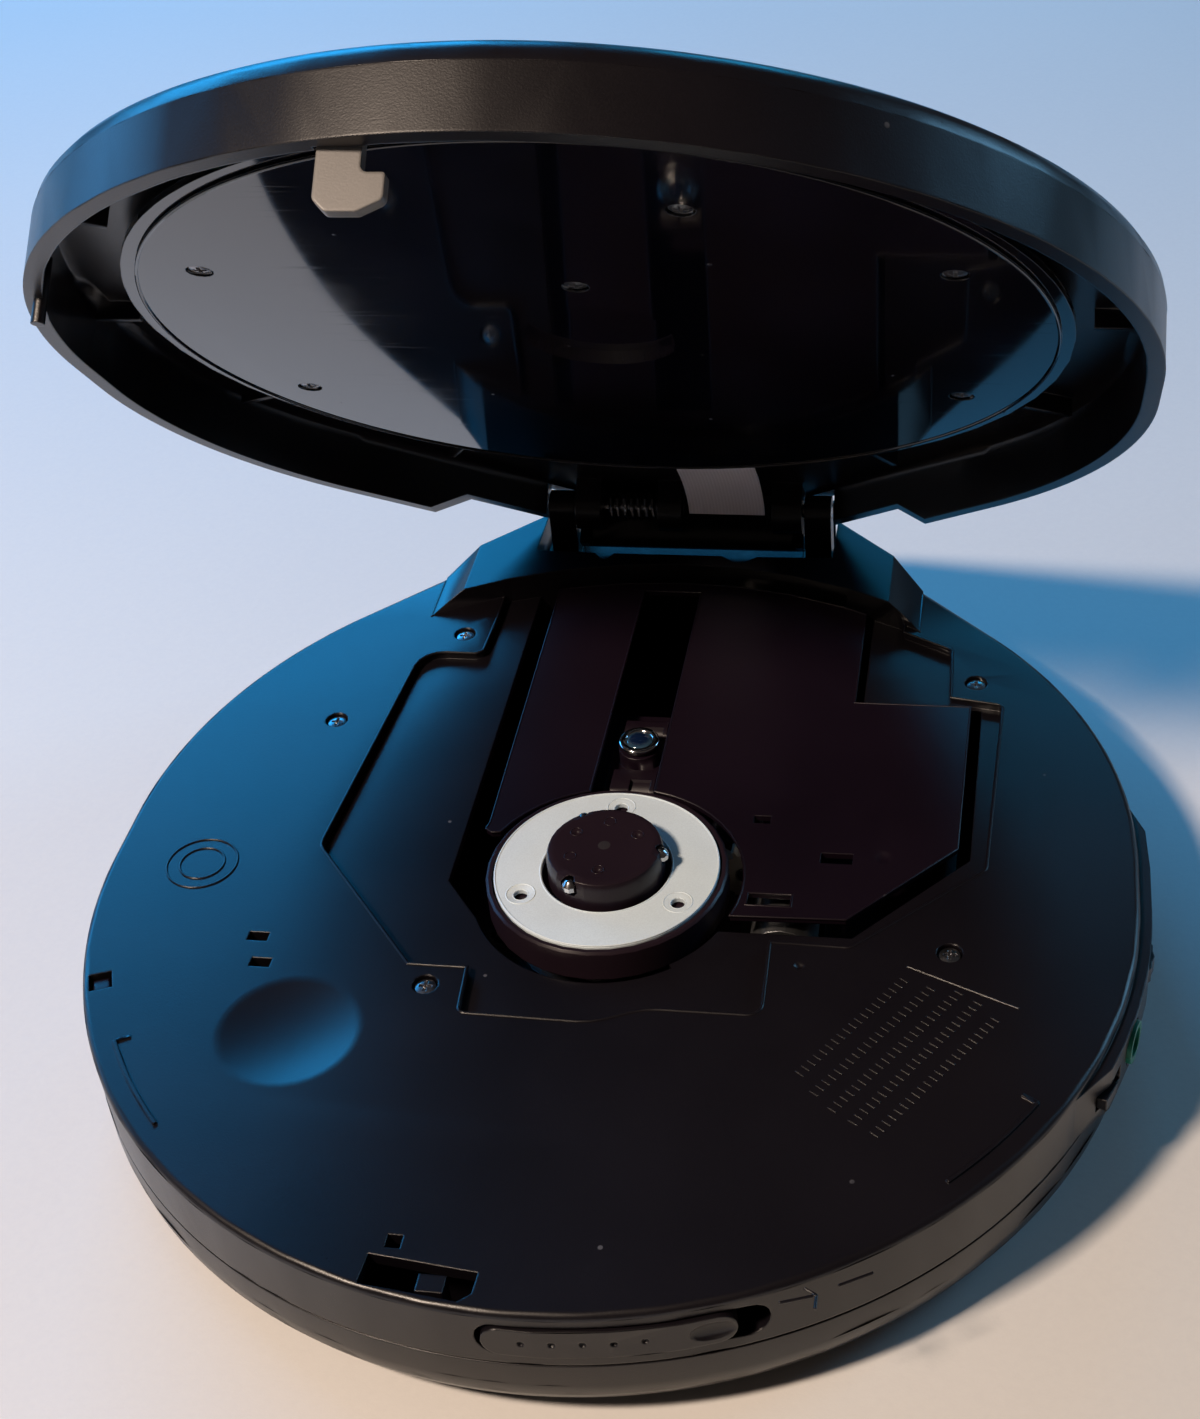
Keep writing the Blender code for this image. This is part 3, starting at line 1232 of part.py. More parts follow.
def build_turntable():
    """Metal ring that carries the disc, laid in the hub's cup."""
    bore = HUB_RADIUS + TURNTABLE_BORE_GAP
    chamfer = TURNTABLE_THICKNESS / 4
    disc = turned([(TURNTABLE_RADIUS - chamfer, SEAT_HEIGHT), (TURNTABLE_RADIUS, SEAT_HEIGHT - chamfer),
                   (TURNTABLE_RADIUS, PLATTER_UNDER), (bore, PLATTER_UNDER), (bore, SEAT_HEIGHT)], MEDIUM_STEPS + ROUND_STEPS)
    for angle in HOLE_ANGLES:
        turn = math.radians(angle)
        x, y = PLATTER_HOLE_ORBIT * math.cos(turn), PLATTER_HOLE_ORBIT * math.sin(turn)
        cut(disc, sink((x, y), SEAT_HEIGHT, PLATTER_DISH_RADIUS, PLATTER_DISH_DEPTH, PLATTER_HOLE_RADIUS, PLATTER_UNDER))
    part(disc, "turntable", "platter")


def ball_places():
    places = []
    for angle in BALL_ANGLES:
        turn = math.radians(angle)
        places.append((BALL_ORBIT * math.cos(turn), BALL_ORBIT * math.sin(turn), HUB_TOP - BALL_DROP))
    return places


def build_hub():
    """Hub and the deep cup under the metal ring as one moulding, with a window over each ball."""
    bore = SHAFT_RADIUS + GAP
    rim = SEAT_HEIGHT - CUP_DROP
    low = rim - CUP_HEIGHT
    inner = CUP_RADIUS - CUP_WALL
    hub = turned([(0, HUB_TOP), (HUB_RADIUS - HUB_EDGE * 2, HUB_TOP),
                  (HUB_RADIUS - HUB_EDGE / 2, HUB_TOP - HUB_EDGE / 2), (HUB_RADIUS, HUB_TOP - HUB_EDGE * 2),
                  (HUB_RADIUS, CUP_FLOOR), (TURNTABLE_RADIUS + GAP, CUP_FLOOR), (TURNTABLE_RADIUS + GAP, rim),
                  (CUP_RADIUS - GAP, rim), (CUP_RADIUS, rim - GAP), (CUP_RADIUS, low), (inner, low),
                  (inner, CUP_UNDER), (bore, CUP_UNDER), (bore, SEAT_HEIGHT), (0, SEAT_HEIGHT)], MEDIUM_STEPS)
    for x, y, z in ball_places():
        cut(hub, ball((x, y, z), BALL_RADIUS + GAP, BALL_STEPS))
        cut(hub, rod((x, y, z), (x, y, HUB_TOP + OVERRUN), BALL_WINDOW_RADIUS, BALL_WINDOW_STEPS))
    for angle in (30, 150, 270):
        turn = math.radians(angle)
        centre = (HUB_DIMPLE_ORBIT * math.cos(turn), HUB_DIMPLE_ORBIT * math.sin(turn))
        cut(hub, dish(centre, HUB_TOP, HUB_DIMPLE_RADIUS, HUB_DIMPLE_DEPTH, SMALL_STEPS))
    cut(hub, dish((0, 0), HUB_TOP, HUB_CENTRE_RADIUS, HUB_DIMPLE_DEPTH / 2, SMALL_STEPS))
    part(hub, "hub", "mechanism")
    for name, place_of_ball in zip(BALL_NODES, ball_places()):
        part(ball(place_of_ball, BALL_RADIUS, BALL_STEPS), name, "steel")


def rod_end():
    """Back end of the rods: where the sled's outermost place leaves room for the bracket."""
    return LENS_OUTER_Y + SLED_BACK + GAP * 4 + BRACKET_LENGTH


def build_guide_rods():
    for name, x in (("guide_rod_left", -ROD_SPREAD), ("guide_rod_right", ROD_SPREAD)):
        bar = rod((x, ROD_START, ROD_HEIGHT), (x, rod_end(), ROD_HEIGHT), ROD_RADIUS, SMALL_STEPS)
        part(bar, name, "steel")


def build_sled():
    front = LENS_Y - SLED_FRONT
    back = LENS_Y + SLED_BACK
    nose = LENS_Y - SLED_NOSE_REACH
    sled = prism(rectangle(-SLED_HALF_WIDTH, SLED_HALF_WIDTH, front, back, OPTICS_RISE), SLED_LOW, SLED_HIGH)
    fuse(sled, block((LENS_X - SLED_NOSE_HALF_WIDTH, nose, SLED_LOW + OVERLAP),
                     (LENS_X + SLED_NOSE_HALF_WIDTH, LENS_Y, SLED_HIGH - OVERLAP / 2)))
    for x in (-ROD_SPREAD, ROD_SPREAD):
        cut(sled, rod((x, front - OVERRUN, ROD_HEIGHT), (x, back + OVERRUN, ROD_HEIGHT), ROD_RADIUS + GAP, SMALL_STEPS))
    cut(sled, block((ROD_SPREAD, front - OVERRUN, ROD_HEIGHT - ROD_RADIUS - GAP),
                    (SLED_HALF_WIDTH + OVERRUN, back + OVERRUN, ROD_HEIGHT + ROD_RADIUS + GAP)))
    arm_y = LENS_Y + SLED_BACK / 2
    fuse(sled, block((SLED_HALF_WIDTH - OVERRUN, arm_y - GEAR_WIDTH, ROD_HEIGHT + ROD_RADIUS + GAP * 2),
                     (SCREW_OFFSET + FEED_RADIUS, arm_y + GEAR_WIDTH, SLED_HIGH - GAP)))
    cut(sled, rod((SCREW_OFFSET, front - OVERRUN, ROD_HEIGHT), (SCREW_OFFSET, back + OVERRUN, ROD_HEIGHT),
                  FEED_RADIUS + GAP, SMALL_STEPS))
    cut(sled, rod((LENS_X, LENS_Y, SLED_LOW - OVERRUN), (LENS_X, LENS_Y, SLED_HIGH + OVERRUN), LENS_RADIUS / 2,
                  SMALL_STEPS))
    part(sled, "pickup_sled", "mechanism")


def build_optics():
    """Focus and tracking actuator on the sled, open round the lens, with its end blocks."""
    low = OPTICS_LOW
    high = OPTICS_HIGH
    tower_top = low + LENS_TOWER_RISE
    plate_top = low + OPTICS_RISE * OPTICS_PLATE_SHARE
    body = prism(rectangle(LENS_X - OPTICS_HALF_WIDTH, LENS_X + OPTICS_HALF_WIDTH, LENS_Y - OPTICS_REACH,
                           LENS_Y + OPTICS_TAIL, OPTICS_RISE / 4), low, plate_top)
    fuse(body, rod((LENS_X, LENS_Y, low + GAP), (LENS_X, LENS_Y, tower_top), LENS_RING_RADIUS))
    cut(body, rod((LENS_X, LENS_Y, low - OVERRUN), (LENS_X, LENS_Y, tower_top + OVERRUN), LENS_STEM_RADIUS + GAP))
    for side, depth in OPTICS_BLOCK_SHARES:
        reach = OPTICS_TAIL if side > 0 else OPTICS_REACH
        y = LENS_Y + side * (reach - GAP)
        inner = y - side * reach * depth
        fuse(body, block((LENS_X - OPTICS_HALF_WIDTH * 0.75, min(y, inner), low + GAP),
                         (LENS_X + OPTICS_HALF_WIDTH * 0.75, max(y, inner), high)))
        cut(body, block((LENS_X - OPTICS_HALF_WIDTH * 0.10, min(y, inner) - OVERRUN, (plate_top + high) / 2),
                        (LENS_X + OPTICS_HALF_WIDTH * 0.60, (y + inner) / 2, high + OVERRUN)))
    part(body, "lens_actuator", "mechanism")
    flange_low = tower_top + GAP
    flange_top = flange_low + LENS_FLANGE
    top = flange_top + LENS_DOME_RISE
    dome = []
    for step in range(5):
        share = step / 5
        dome.append((LENS_DOME_RADIUS * share, top - LENS_DOME_RISE * share * share))
    profile = dome + [(LENS_DOME_RADIUS, flange_top), (LENS_RADIUS, flange_top), (LENS_RADIUS, flange_low),
                      (LENS_STEM_RADIUS, flange_low), (LENS_STEM_RADIUS, flange_low - LENS_FLANGE),
                      (0, flange_low - LENS_FLANGE)]
    part(turned(profile, ROUND_STEPS, Matrix.Translation((LENS_X, LENS_Y, 0))), "objective_lens", "lens")


def motor_front():
    return ROD_START - BRACKET_LENGTH - GEAR_WIDTH - SLED_MOTOR_LENGTH


def build_feed_drive():
    gear_y = ROD_START - BRACKET_LENGTH
    screw = rod((SCREW_OFFSET, gear_y - GEAR_WIDTH, ROD_HEIGHT), (SCREW_OFFSET, rod_end() - GAP, ROD_HEIGHT),
                FEED_RADIUS, SMALL_STEPS)
    part(screw, "feed_screw", "steel")
    gear = prism(gear_outline(GEAR_TEETH), -GEAR_WIDTH, 0)
    placed(gear, frame_along_y(SCREW_OFFSET, gear_y, ROD_HEIGHT))
    cut(gear, rod((SCREW_OFFSET, gear_y - GEAR_WIDTH - OVERRUN, ROD_HEIGHT), (SCREW_OFFSET, gear_y + OVERRUN, ROD_HEIGHT),
                  FEED_RADIUS + GAP, SMALL_STEPS))
    part(gear, "feed_gear", "white")
    pinion = prism(gear_outline(PINION_TEETH), -GEAR_WIDTH, 0)
    placed(pinion, Matrix.Rotation(math.pi / PINION_TEETH, 4, "Z"))
    placed(pinion, frame_along_y(DRIVE_OFFSET, gear_y, ROD_HEIGHT))
    fuse(pinion, rod((DRIVE_OFFSET, gear_y - GEAR_WIDTH - GAP * 2, ROD_HEIGHT), (DRIVE_OFFSET, gear_y - OVERLAP, ROD_HEIGHT),
                     SHAFT_RADIUS, SMALL_STEPS))
    part(pinion, "motor_pinion", "brass")
    motor_back = gear_y - GEAR_WIDTH - GAP * 3
    motor = turned([(0, 0), (SLED_MOTOR_RADIUS - GAP * 2, 0), (SLED_MOTOR_RADIUS, -GAP * 2),
                    (SLED_MOTOR_RADIUS, -SLED_MOTOR_LENGTH + GAP * 4), (0, -SLED_MOTOR_LENGTH + GAP * 4)],
                   ROUND_STEPS, frame_along_y(DRIVE_OFFSET, motor_back, ROD_HEIGHT))
    part(motor, "sled_motor", "sheet")


# Opener in the front wall

def build_slider():
    outer = BODY_RADIUS + SLIDER_PROUD
    inner = BODY_RADIUS - SLIDER_DEPTH
    knob = pill(inner, outer, SLIDER_START - 90, SLIDER_END - 90, SLIDER_MIDDLE, SLIDER_HEIGHT / 2)
    for angle in GRIP_ANGLES:
        grip = ball((0, 0, 0), GRIP_RADIUS, BALL_STEPS)
        cut(knob, placed(grip, wall_frame(angle - 90, outer, SLIDER_MIDDLE)))
    scoop_length = math.radians(SLIDER_END - SCOOP_START) * BODY_RADIUS / 2
    scoop = ball((0, 0, 0), 1, ROUND_STEPS)
    placed(scoop, Matrix.Diagonal((SCOOP_DEPTH, scoop_length, SLIDER_HEIGHT * 0.34, 1)))
    cut(knob, placed(scoop, wall_frame((SCOOP_START + SLIDER_END) / 2 - 90, outer, SLIDER_MIDDLE)))
    part(knob, "opener_slider", "shell")


def build_latch_bar():
    high = BAR_LOW + BAR_HEIGHT
    outer = BAR_INNER + BAR_THICKNESS
    bar = wedge(BAR_INNER, outer, BAR_START - 90, BAR_END - 90, BAR_LOW, high)
    riser_outer = outer - OVERLAP
    fuse(bar, wedge(BAR_INNER + OVERLAP, riser_outer, LINK_START - 90, LINK_END - 90, high - OVERLAP,
                    SLIDER_MIDDLE + SLIDER_HEIGHT / 4))
    fuse(bar, wedge(riser_outer - OVERLAP, BODY_RADIUS - SLIDER_DEPTH - GAP, LINK_START - 90 + 1, LINK_END - 90 - 1,
                    SLIDER_MIDDLE - SLIDER_HEIGHT / 4, SLIDER_MIDDLE + SLIDER_HEIGHT / 5))
    right = CATCH_LEFT + CATCH_WIDTH
    catch_top = DECK_HEIGHT - CATCH_DROP
    fuse(bar, block((right - CATCH_STEM, CATCH_Y, high - OVERLAP), (right, CATCH_Y + CATCH_DEPTH, catch_top)))
    fuse(bar, block((CATCH_LEFT, CATCH_Y, catch_top - CATCH_HEIGHT), (right, CATCH_Y + CATCH_DEPTH, catch_top)))
    part(bar, "latch_bar", "shell")


def latch_post_place():
    """Post that holds the fixed end of the latch spring."""
    radius = BAR_INNER + BAR_THICKNESS / 2
    turn = math.radians(LATCH_SPRING_START - 90) - (LATCH_POST_RADIUS + LATCH_WIRE_RADIUS + GAP) / radius
    return (radius * math.cos(turn), radius * math.sin(turn))


def build_latch_spring():
    middle = BAR_LOW + BAR_HEIGHT / 2
    radius = BAR_INNER + BAR_THICKNESS / 2
    start = math.radians(LATCH_SPRING_START - 90)
    end = math.radians(BAR_START - 90) - (GAP + LATCH_WIRE_RADIUS) / radius
    spring = coil(LATCH_SPRING_RADIUS, LATCH_SPRING_TURNS,
                  (radius * math.cos(start), radius * math.sin(start), middle),
                  (radius * math.cos(end), radius * math.sin(end), middle), LATCH_WIRE_RADIUS)
    part(spring, "latch_spring", "steel")


# Lid switch and side controls

def lid_pin_frame():
    """Frame on the deck under the lid's pin, its X pointing out to the rim."""
    turn = math.atan2(LID_PIN_Y, LID_PIN_X)
    return Matrix.Translation((LID_PIN_X, LID_PIN_Y, DECK_HEIGHT)) @ Matrix.Rotation(turn, 4, "Z")


def build_lid_switch():
    half = SWITCH_HOLE / 2 - PLUNGER_CLEARANCE
    top = -PLUNGER_DROP
    plunger = soften(block((-half, -half, top - PLUNGER_LENGTH), (half, half, top)), top, PLUNGER_CLEARANCE, 2)
    part(placed(plunger, lid_pin_frame()), "lid_switch_plunger", "mechanism")


def build_side_controls():
    height = DECK_HEIGHT - JACK_DROP
    ring_outer = JACK_HOLE_RADIUS - GAP
    face = POD_RADIUS + GAP
    inner = BODY_RADIUS - WALL * 2
    ring = turned([(ring_outer, face - inner), (ring_outer, GAP), (JACK_BORE_RADIUS + JACK_RING_WALL / 2, GAP),
                   (JACK_BORE_RADIUS, face - inner)], ROUND_STEPS)
    placed_frame = wall_frame(JACK_ANGLE, inner, height) @ Matrix.Rotation(math.radians(90), 4, "Y")
    ring.matrix_world = placed_frame
    part(ring, "jack_ring", "green")
    body = block((-JACK_BODY_LENGTH, -JACK_BODY_WIDTH / 2, -JACK_BODY_HEIGHT / 2), (0, JACK_BODY_WIDTH / 2, JACK_BODY_HEIGHT / 2))
    placed(body, wall_frame(JACK_ANGLE, inner, height))
    bore = rod((-JACK_BODY_LENGTH + WALL, 0, 0), (OVERRUN, 0, 0), JACK_BORE_RADIUS)
    cut(body, placed(bore, wall_frame(JACK_ANGLE, inner, height)))
    part(body, "headphone_jack", "mechanism")
    power = block((-JACK_BODY_LENGTH * 0.8, -JACK_BODY_WIDTH / 2, -JACK_BODY_HEIGHT / 2), (0, JACK_BODY_WIDTH / 2, JACK_BODY_HEIGHT / 2))
    frame = wall_frame(POWER_ANGLE, inner, height)
    placed(power, frame)
    nose = rod((-OVERLAP, 0, 0), (POD_RADIUS - inner - GAP, 0, 0), POWER_BORE_RADIUS + GAP * 2)
    fuse(power, placed(nose, frame))
    cut(power, placed(rod((-JACK_BODY_LENGTH / 2, 0, 0), (POD_PROUD + WALL * 4, 0, 0), POWER_BORE_RADIUS), frame))
    fuse(power, placed(rod((-JACK_BODY_LENGTH / 2 - OVERLAP, 0, 0), (WALL, 0, 0), POWER_PIN_RADIUS, SMALL_STEPS), frame))
    part(power, "power_jack", "mechanism")
    frame = wall_frame(HOLD_ANGLE, POD_RADIUS, height)
    hold = block((-HOLD_DEPTH, -HOLD_LENGTH / 2, -HOLD_HEIGHT / 2), (HOLD_PROUD, HOLD_LENGTH / 2, HOLD_HEIGHT / 2))
    part(placed(hold, frame), "hold_switch", "shell")
    wheel_points = []
    for step in range(VOLUME_NOTCHES * 2):
        angle = math.tau * step / (VOLUME_NOTCHES * 2)
        radius = VOLUME_RADIUS - (VOLUME_NOTCH_DEPTH if step % 2 else 0)
        wheel_points.append((radius * math.cos(angle), radius * math.sin(angle)))
    wheel = prism(wheel_points, -VOLUME_THICKNESS / 2, VOLUME_THICKNESS / 2)
    placed(wheel, wall_frame(VOLUME_ANGLE, volume_centre(), height))
    fuse(wheel, placed(rod((0, 0, -VOLUME_THICKNESS), (0, 0, VOLUME_THICKNESS), VOLUME_AXLE_RADIUS, SMALL_STEPS),
                       wall_frame(VOLUME_ANGLE, volume_centre(), height)))
    part(wheel, "volume_wheel", "shell")


# Lid, modelled shut

def plate_screw_places():
    return [place(share) for share in PLATE_SCREW_SHARES]


def button_places():
    places = []
    for angle in BUTTON_ANGLES:
        turn = math.radians(angle - 90)
        places.append((BUTTON_ORBIT * math.cos(turn), BUTTON_ORBIT * math.sin(turn)))
    return places


def knuckle(x0, x1):
    """Hinge barrel under the lid's rear, with a web up to its roof."""
    barrel = rod((x0, HINGE_Y, HINGE_HEIGHT), (x1, HINGE_Y, HINGE_HEIGHT), KNUCKLE_RADIUS)
    web = block((x0, HINGE_Y - KNUCKLE_RADIUS, HINGE_HEIGHT), (x1, HINGE_Y + KNUCKLE_RADIUS, LID_CEILING + OVERLAP))
    return fuse(barrel, web)


def build_lid_shell():
    shell = prism(body_outline(LID_INSET), LID_SEAT, LID_TOP)
    soften(shell, LID_TOP, LID_ROUND, 4)
    hollow = prism(body_outline(LID_INSET + LID_WALL), LID_SEAT - OVERRUN, LID_CEILING)
    soften(hollow, LID_CEILING, LID_ROUND - LID_ROOF, 2)
    cut(shell, hollow)
    for x, y in plate_screw_places():
        fuse(shell, rod((x, y, PLATE_TOP + GAP), (x, y, LID_CEILING + OVERLAP), LID_POST_RADIUS, SMALL_STEPS))
    for step in range(CHANNEL_RIB_STEPS):
        angle = 360 * step / CHANNEL_RIB_STEPS
        if 60 < angle < 120:
            continue
        rib = block((CHANNEL_RIB_START, -CHANNEL_RIB_THICKNESS / 2, LID_CEILING - CHANNEL_RIB_DROP),
                    (BODY_RADIUS - LID_INSET - LID_WALL / 2, CHANNEL_RIB_THICKNESS / 2, LID_CEILING + OVERLAP))
        fuse(shell, placed(rib, Matrix.Rotation(math.radians(angle), 4, "Z")))
    fuse(shell, knuckle(-KNUCKLE_END, -KNUCKLE_LEFT_INNER))
    fuse(shell, knuckle(KNUCKLE_MIDDLE[0], KNUCKLE_MIDDLE[1]))
    fuse(shell, knuckle(KNUCKLE_RIGHT_INNER, KNUCKLE_END))
    cut(shell, lid_block_relief())
    lid_hinge_cuts(shell)
    fuse(shell, rod((LID_PIN_X, LID_PIN_Y, DECK_HEIGHT - LID_PIN_DROP), (LID_PIN_X, LID_PIN_Y, LID_SEAT + LID_HEIGHT / 2),
                    LID_PIN_RADIUS, SMALL_STEPS))
    cut(shell, block((HOOK_LEFT - GAP, HOOK_Y - GAP, LID_SEAT - OVERRUN),
                     (HOOK_LEFT + HOOK_WIDTH + HOOK_FOOT + GAP, HOOK_Y + HOOK_THICKNESS + GAP, DECK_HEIGHT + HOOK_SEAT + GAP)))
    for x, y in plate_screw_places():
        cut(shell, rod((x, y, PLATE_LOW), (x, y, LID_CEILING), SCREW_SHANK_RADIUS + GAP, SMALL_STEPS))
    for x, y in button_places():
        cut(shell, rod((x, y, LID_CEILING - OVERRUN), (x, y, LID_TOP + OVERRUN), BUTTON_RADIUS + BUTTON_CLEARANCE))
    cut(shell, window_block(LID_TOP - WINDOW_THICKNESS - GAP, LID_TOP + OVERRUN, GAP))
    cut(shell, window_block(LID_CEILING - OVERRUN, LID_TOP, -WINDOW_LEDGE))
    part(shell, "lid_shell", "shell")


def lid_block_relief():
    """Room in the lid for the hinge block; over the notch the lid's wall hangs down behind the knuckles."""
    half = NOTCH_HALF_WIDTH - LID_BLOCK_CLEARANCE
    relief = hinge_block(LID_BLOCK_CLEARANCE)
    return cut(relief, block((-half, NOTCH_FRONT + LID_BLOCK_CLEARANCE, 0), (half, BACK_REACH + OVERRUN * 2, LID_TOP)))


def lid_hinge_cuts(shell):
    """Slots that let the base's ears pass, and the bores for the two pins."""
    for side in (-1, 1):
        inner = side * (KNUCKLE_END)
        outer = side * (EAR_INNER + EAR_THICKNESS + EAR_SLOT_CLEARANCE)
        cut(shell, block((min(inner, outer), HINGE_Y - KNUCKLE_RADIUS - OVERRUN, LID_SEAT - OVERRUN),
                         (max(inner, outer), BACK_REACH + OVERRUN, HINGE_HEIGHT + EAR_RADIUS + EAR_SLOT_CLEARANCE)))
    cut(shell, rod((-KNUCKLE_END - OVERRUN, HINGE_Y, HINGE_HEIGHT), (KNUCKLE_END + OVERRUN, HINGE_Y, HINGE_HEIGHT),
                   PIN_RADIUS + GAP, SMALL_STEPS))


def window_block(low, high, margin):
    half = WINDOW_LENGTH / 2 + margin
    deep = WINDOW_WIDTH / 2 + margin
    return prism(rectangle(-half, half, WINDOW_Y - deep, WINDOW_Y + deep, WINDOW_CORNER + margin), low, high)


def build_lid_plate():
    low = PLATE_LOW
    top = PLATE_TOP
    dish_low = low + PLATE_DISH_RISE
    flat = PLATE_DISH_RADIUS - PLATE_SLOPE
    plate = turned([(0, top + PLATE_DISH_RISE), (flat, top + PLATE_DISH_RISE), (PLATE_DISH_RADIUS, top),
                    (PLATE_RADIUS, top), (PLATE_RADIUS, low + PLATE_STEP), (PLATE_STEP_RADIUS, low + PLATE_STEP),
                    (PLATE_STEP_RADIUS - PLATE_STEP, low), (PLATE_DISH_RADIUS, low), (flat, dish_low),
                    (0, dish_low)], LARGE_STEPS)
    for x, y in plate_screw_places():
        cut(plate, rod((x, y, low - OVERRUN), (x, y, low + SCREW_HEAD_HEIGHT), SCREW_HEAD_RADIUS + GAP, SMALL_STEPS))
        cut(plate, rod((x, y, low - OVERRUN), (x, y, top + OVERRUN), SCREW_SHANK_RADIUS + GAP, SMALL_STEPS))
    part(plate, "lid_plate", "gloss")


def build_lid_hook():
    """Hook that drops through the deck, its foot turned towards the catch."""
    seat = DECK_HEIGHT + HOOK_SEAT
    right = HOOK_LEFT + HOOK_WIDTH
    tip = right + HOOK_FOOT
    low = DECK_HEIGHT - HOOK_DROP
    foot_low = DECK_HEIGHT - HOOK_FOOT_LOW
    foot_top = DECK_HEIGHT - HOOK_FOOT_TOP
    outline = [(HOOK_LEFT, seat), (HOOK_LEFT, foot_low), (HOOK_LEFT + HOOK_FOOT / 2, low), (right, low),
               (tip, foot_low), (tip, foot_top), (right, foot_top), (right, seat)]
    radii = [0, HOOK_THICKNESS / 2, HOOK_THICKNESS / 2, HOOK_THICKNESS / 2, HOOK_THICKNESS / 2, GAP, HOOK_THICKNESS / 2, 0]
    hook = prism(rounded(outline, radii), -HOOK_Y - HOOK_THICKNESS, -HOOK_Y)
    placed(hook, Matrix.Rotation(math.radians(90), 4, "X"))
    part(hook, "lid_hook", "grey")


def build_ribbon():
    """Flat flex cable from under the lid's plate towards the hinge, as a thin bent strip."""
    base = PLATE_TOP - PLATE_THICKNESS * 1.5
    upper = []
    for share_y, share_z in RIBBON_SHARES:
        upper.append((RIBBON_START + RIBBON_RUN * share_y, base + RIBBON_RISE * share_z))
    lower = [(y, z - RIBBON_THICKNESS) for y, z in reversed(upper)]
    strip = prism(upper + lower, RIBBON_LEFT, RIBBON_LEFT + RIBBON_WIDTH)
    turn = Matrix(((0, 0, 1, 0), (1, 0, 0, 0), (0, 1, 0, 0), (0, 0, 0, 1)))
    part(placed(strip, turn), "flex_ribbon", "ribbon")


def build_lid_controls():
    board = prism(rectangle(-LID_BOARD_LENGTH / 2, LID_BOARD_LENGTH / 2, LID_BOARD_Y - LID_BOARD_WIDTH / 2,
                            LID_BOARD_Y + LID_BOARD_WIDTH / 2, LID_BOARD_THICKNESS * 3),
                  PLATE_TOP + GAP, PLATE_TOP + GAP + LID_BOARD_THICKNESS)
    for x, y in plate_screw_places():
        cut(board, rod((x, y, PLATE_LOW), (x, y, LID_TOP), LID_POST_RADIUS + GAP * 2, SMALL_STEPS))
    keep(board, rod((0, 0, PLATE_LOW), (0, 0, LID_TOP), CHANNEL_RIB_START - GAP * 2, LARGE_STEPS))
    part(board, "lid_board", "board")
    board_top = PLATE_TOP + GAP + LID_BOARD_THICKNESS
    display = window_block(board_top + GAP, LID_TOP - WINDOW_THICKNESS - GAP * 2, -WINDOW_LEDGE - GAP)
    part(display, "display_module", "grey")
    part(window_block(LID_TOP - WINDOW_THICKNESS, LID_TOP, 0), "display_window", "window")
    for name, (x, y) in zip(BUTTON_NAMES, button_places()):
        flange_top = LID_CEILING - GAP
        flange_low = flange_top - BUTTON_FLANGE_HEIGHT
        cap = BUTTON_RADIUS
        button = turned([(0, LID_TOP + BUTTON_PROUD), (cap - BUTTON_PROUD, LID_TOP + BUTTON_PROUD),
                         (cap, LID_TOP + BUTTON_PROUD / 2), (cap, flange_top), (cap + BUTTON_FLANGE, flange_top),
                         (cap + BUTTON_FLANGE, flange_low), (0, flange_low)], ROUND_STEPS, Matrix.Translation((x, y, 0)))
        part(button, name + "_button", "shell")


# Hinge

def build_hinge():
    for name, inner, side in (("hinge_pin_left", KNUCKLE_MIDDLE[1], -1), ("hinge_pin_right", KNUCKLE_RIGHT_INNER, 1)):
        outer = side * (EAR_INNER + EAR_THICKNESS)
        pin = rod((inner, HINGE_Y, HINGE_HEIGHT), (outer, HINGE_Y, HINGE_HEIGHT), PIN_RADIUS, SMALL_STEPS)
        part(pin, name, "steel")
    start = (-KNUCKLE_LEFT_INNER + COIL_WIRE_RADIUS + GAP, HINGE_Y, HINGE_HEIGHT)
    end = (KNUCKLE_MIDDLE[0] - COIL_WIRE_RADIUS - GAP, HINGE_Y, HINGE_HEIGHT)
    part(coil(COIL_RADIUS, COIL_TURNS, start, end, COIL_WIRE_RADIUS), "hinge_spring", "steel")


# Assembly

LID_NODES = ("lid_shell", "lid_plate", "lid_hook", "flex_ribbon", "lid_board",
             "display_module", "display_window")


def settle():
    """Replaces each piece's mesh with its finished one, smooth where it is round."""
    bpy.context.view_layer.update()
    graph = bpy.context.evaluated_depsgraph_get()
    finished = {}
    for piece in PLAYER.objects:
        finished[piece.name] = bpy.data.meshes.new_from_object(piece.evaluated_get(graph))
    for piece in PLAYER.objects:
        piece.modifiers.clear()
        piece.data = finished[piece.name]
        piece.data.name = piece.name
        piece.data.shade_smooth()
        piece.data.set_sharp_from_angle(angle=SMOOTH_ANGLE)
    for tool in list(GUIDES.objects):
        bpy.data.objects.remove(tool, do_unlink=True)


def pivot(name, frame, children, parent=None):
    """Empty on a joint's axis that carries the pieces that turn or slide with it."""
    empty = bpy.data.objects.new(name, None)
    PLAYER.objects.link(empty)
    empty.matrix_world = frame
    for child in children:
        piece = bpy.data.objects[child]
        piece.parent = empty
        piece.matrix_parent_inverse = frame.inverted()
    if parent:
        empty.parent = parent
        empty.matrix_parent_inverse = parent.matrix_basis.inverted()
    return empty


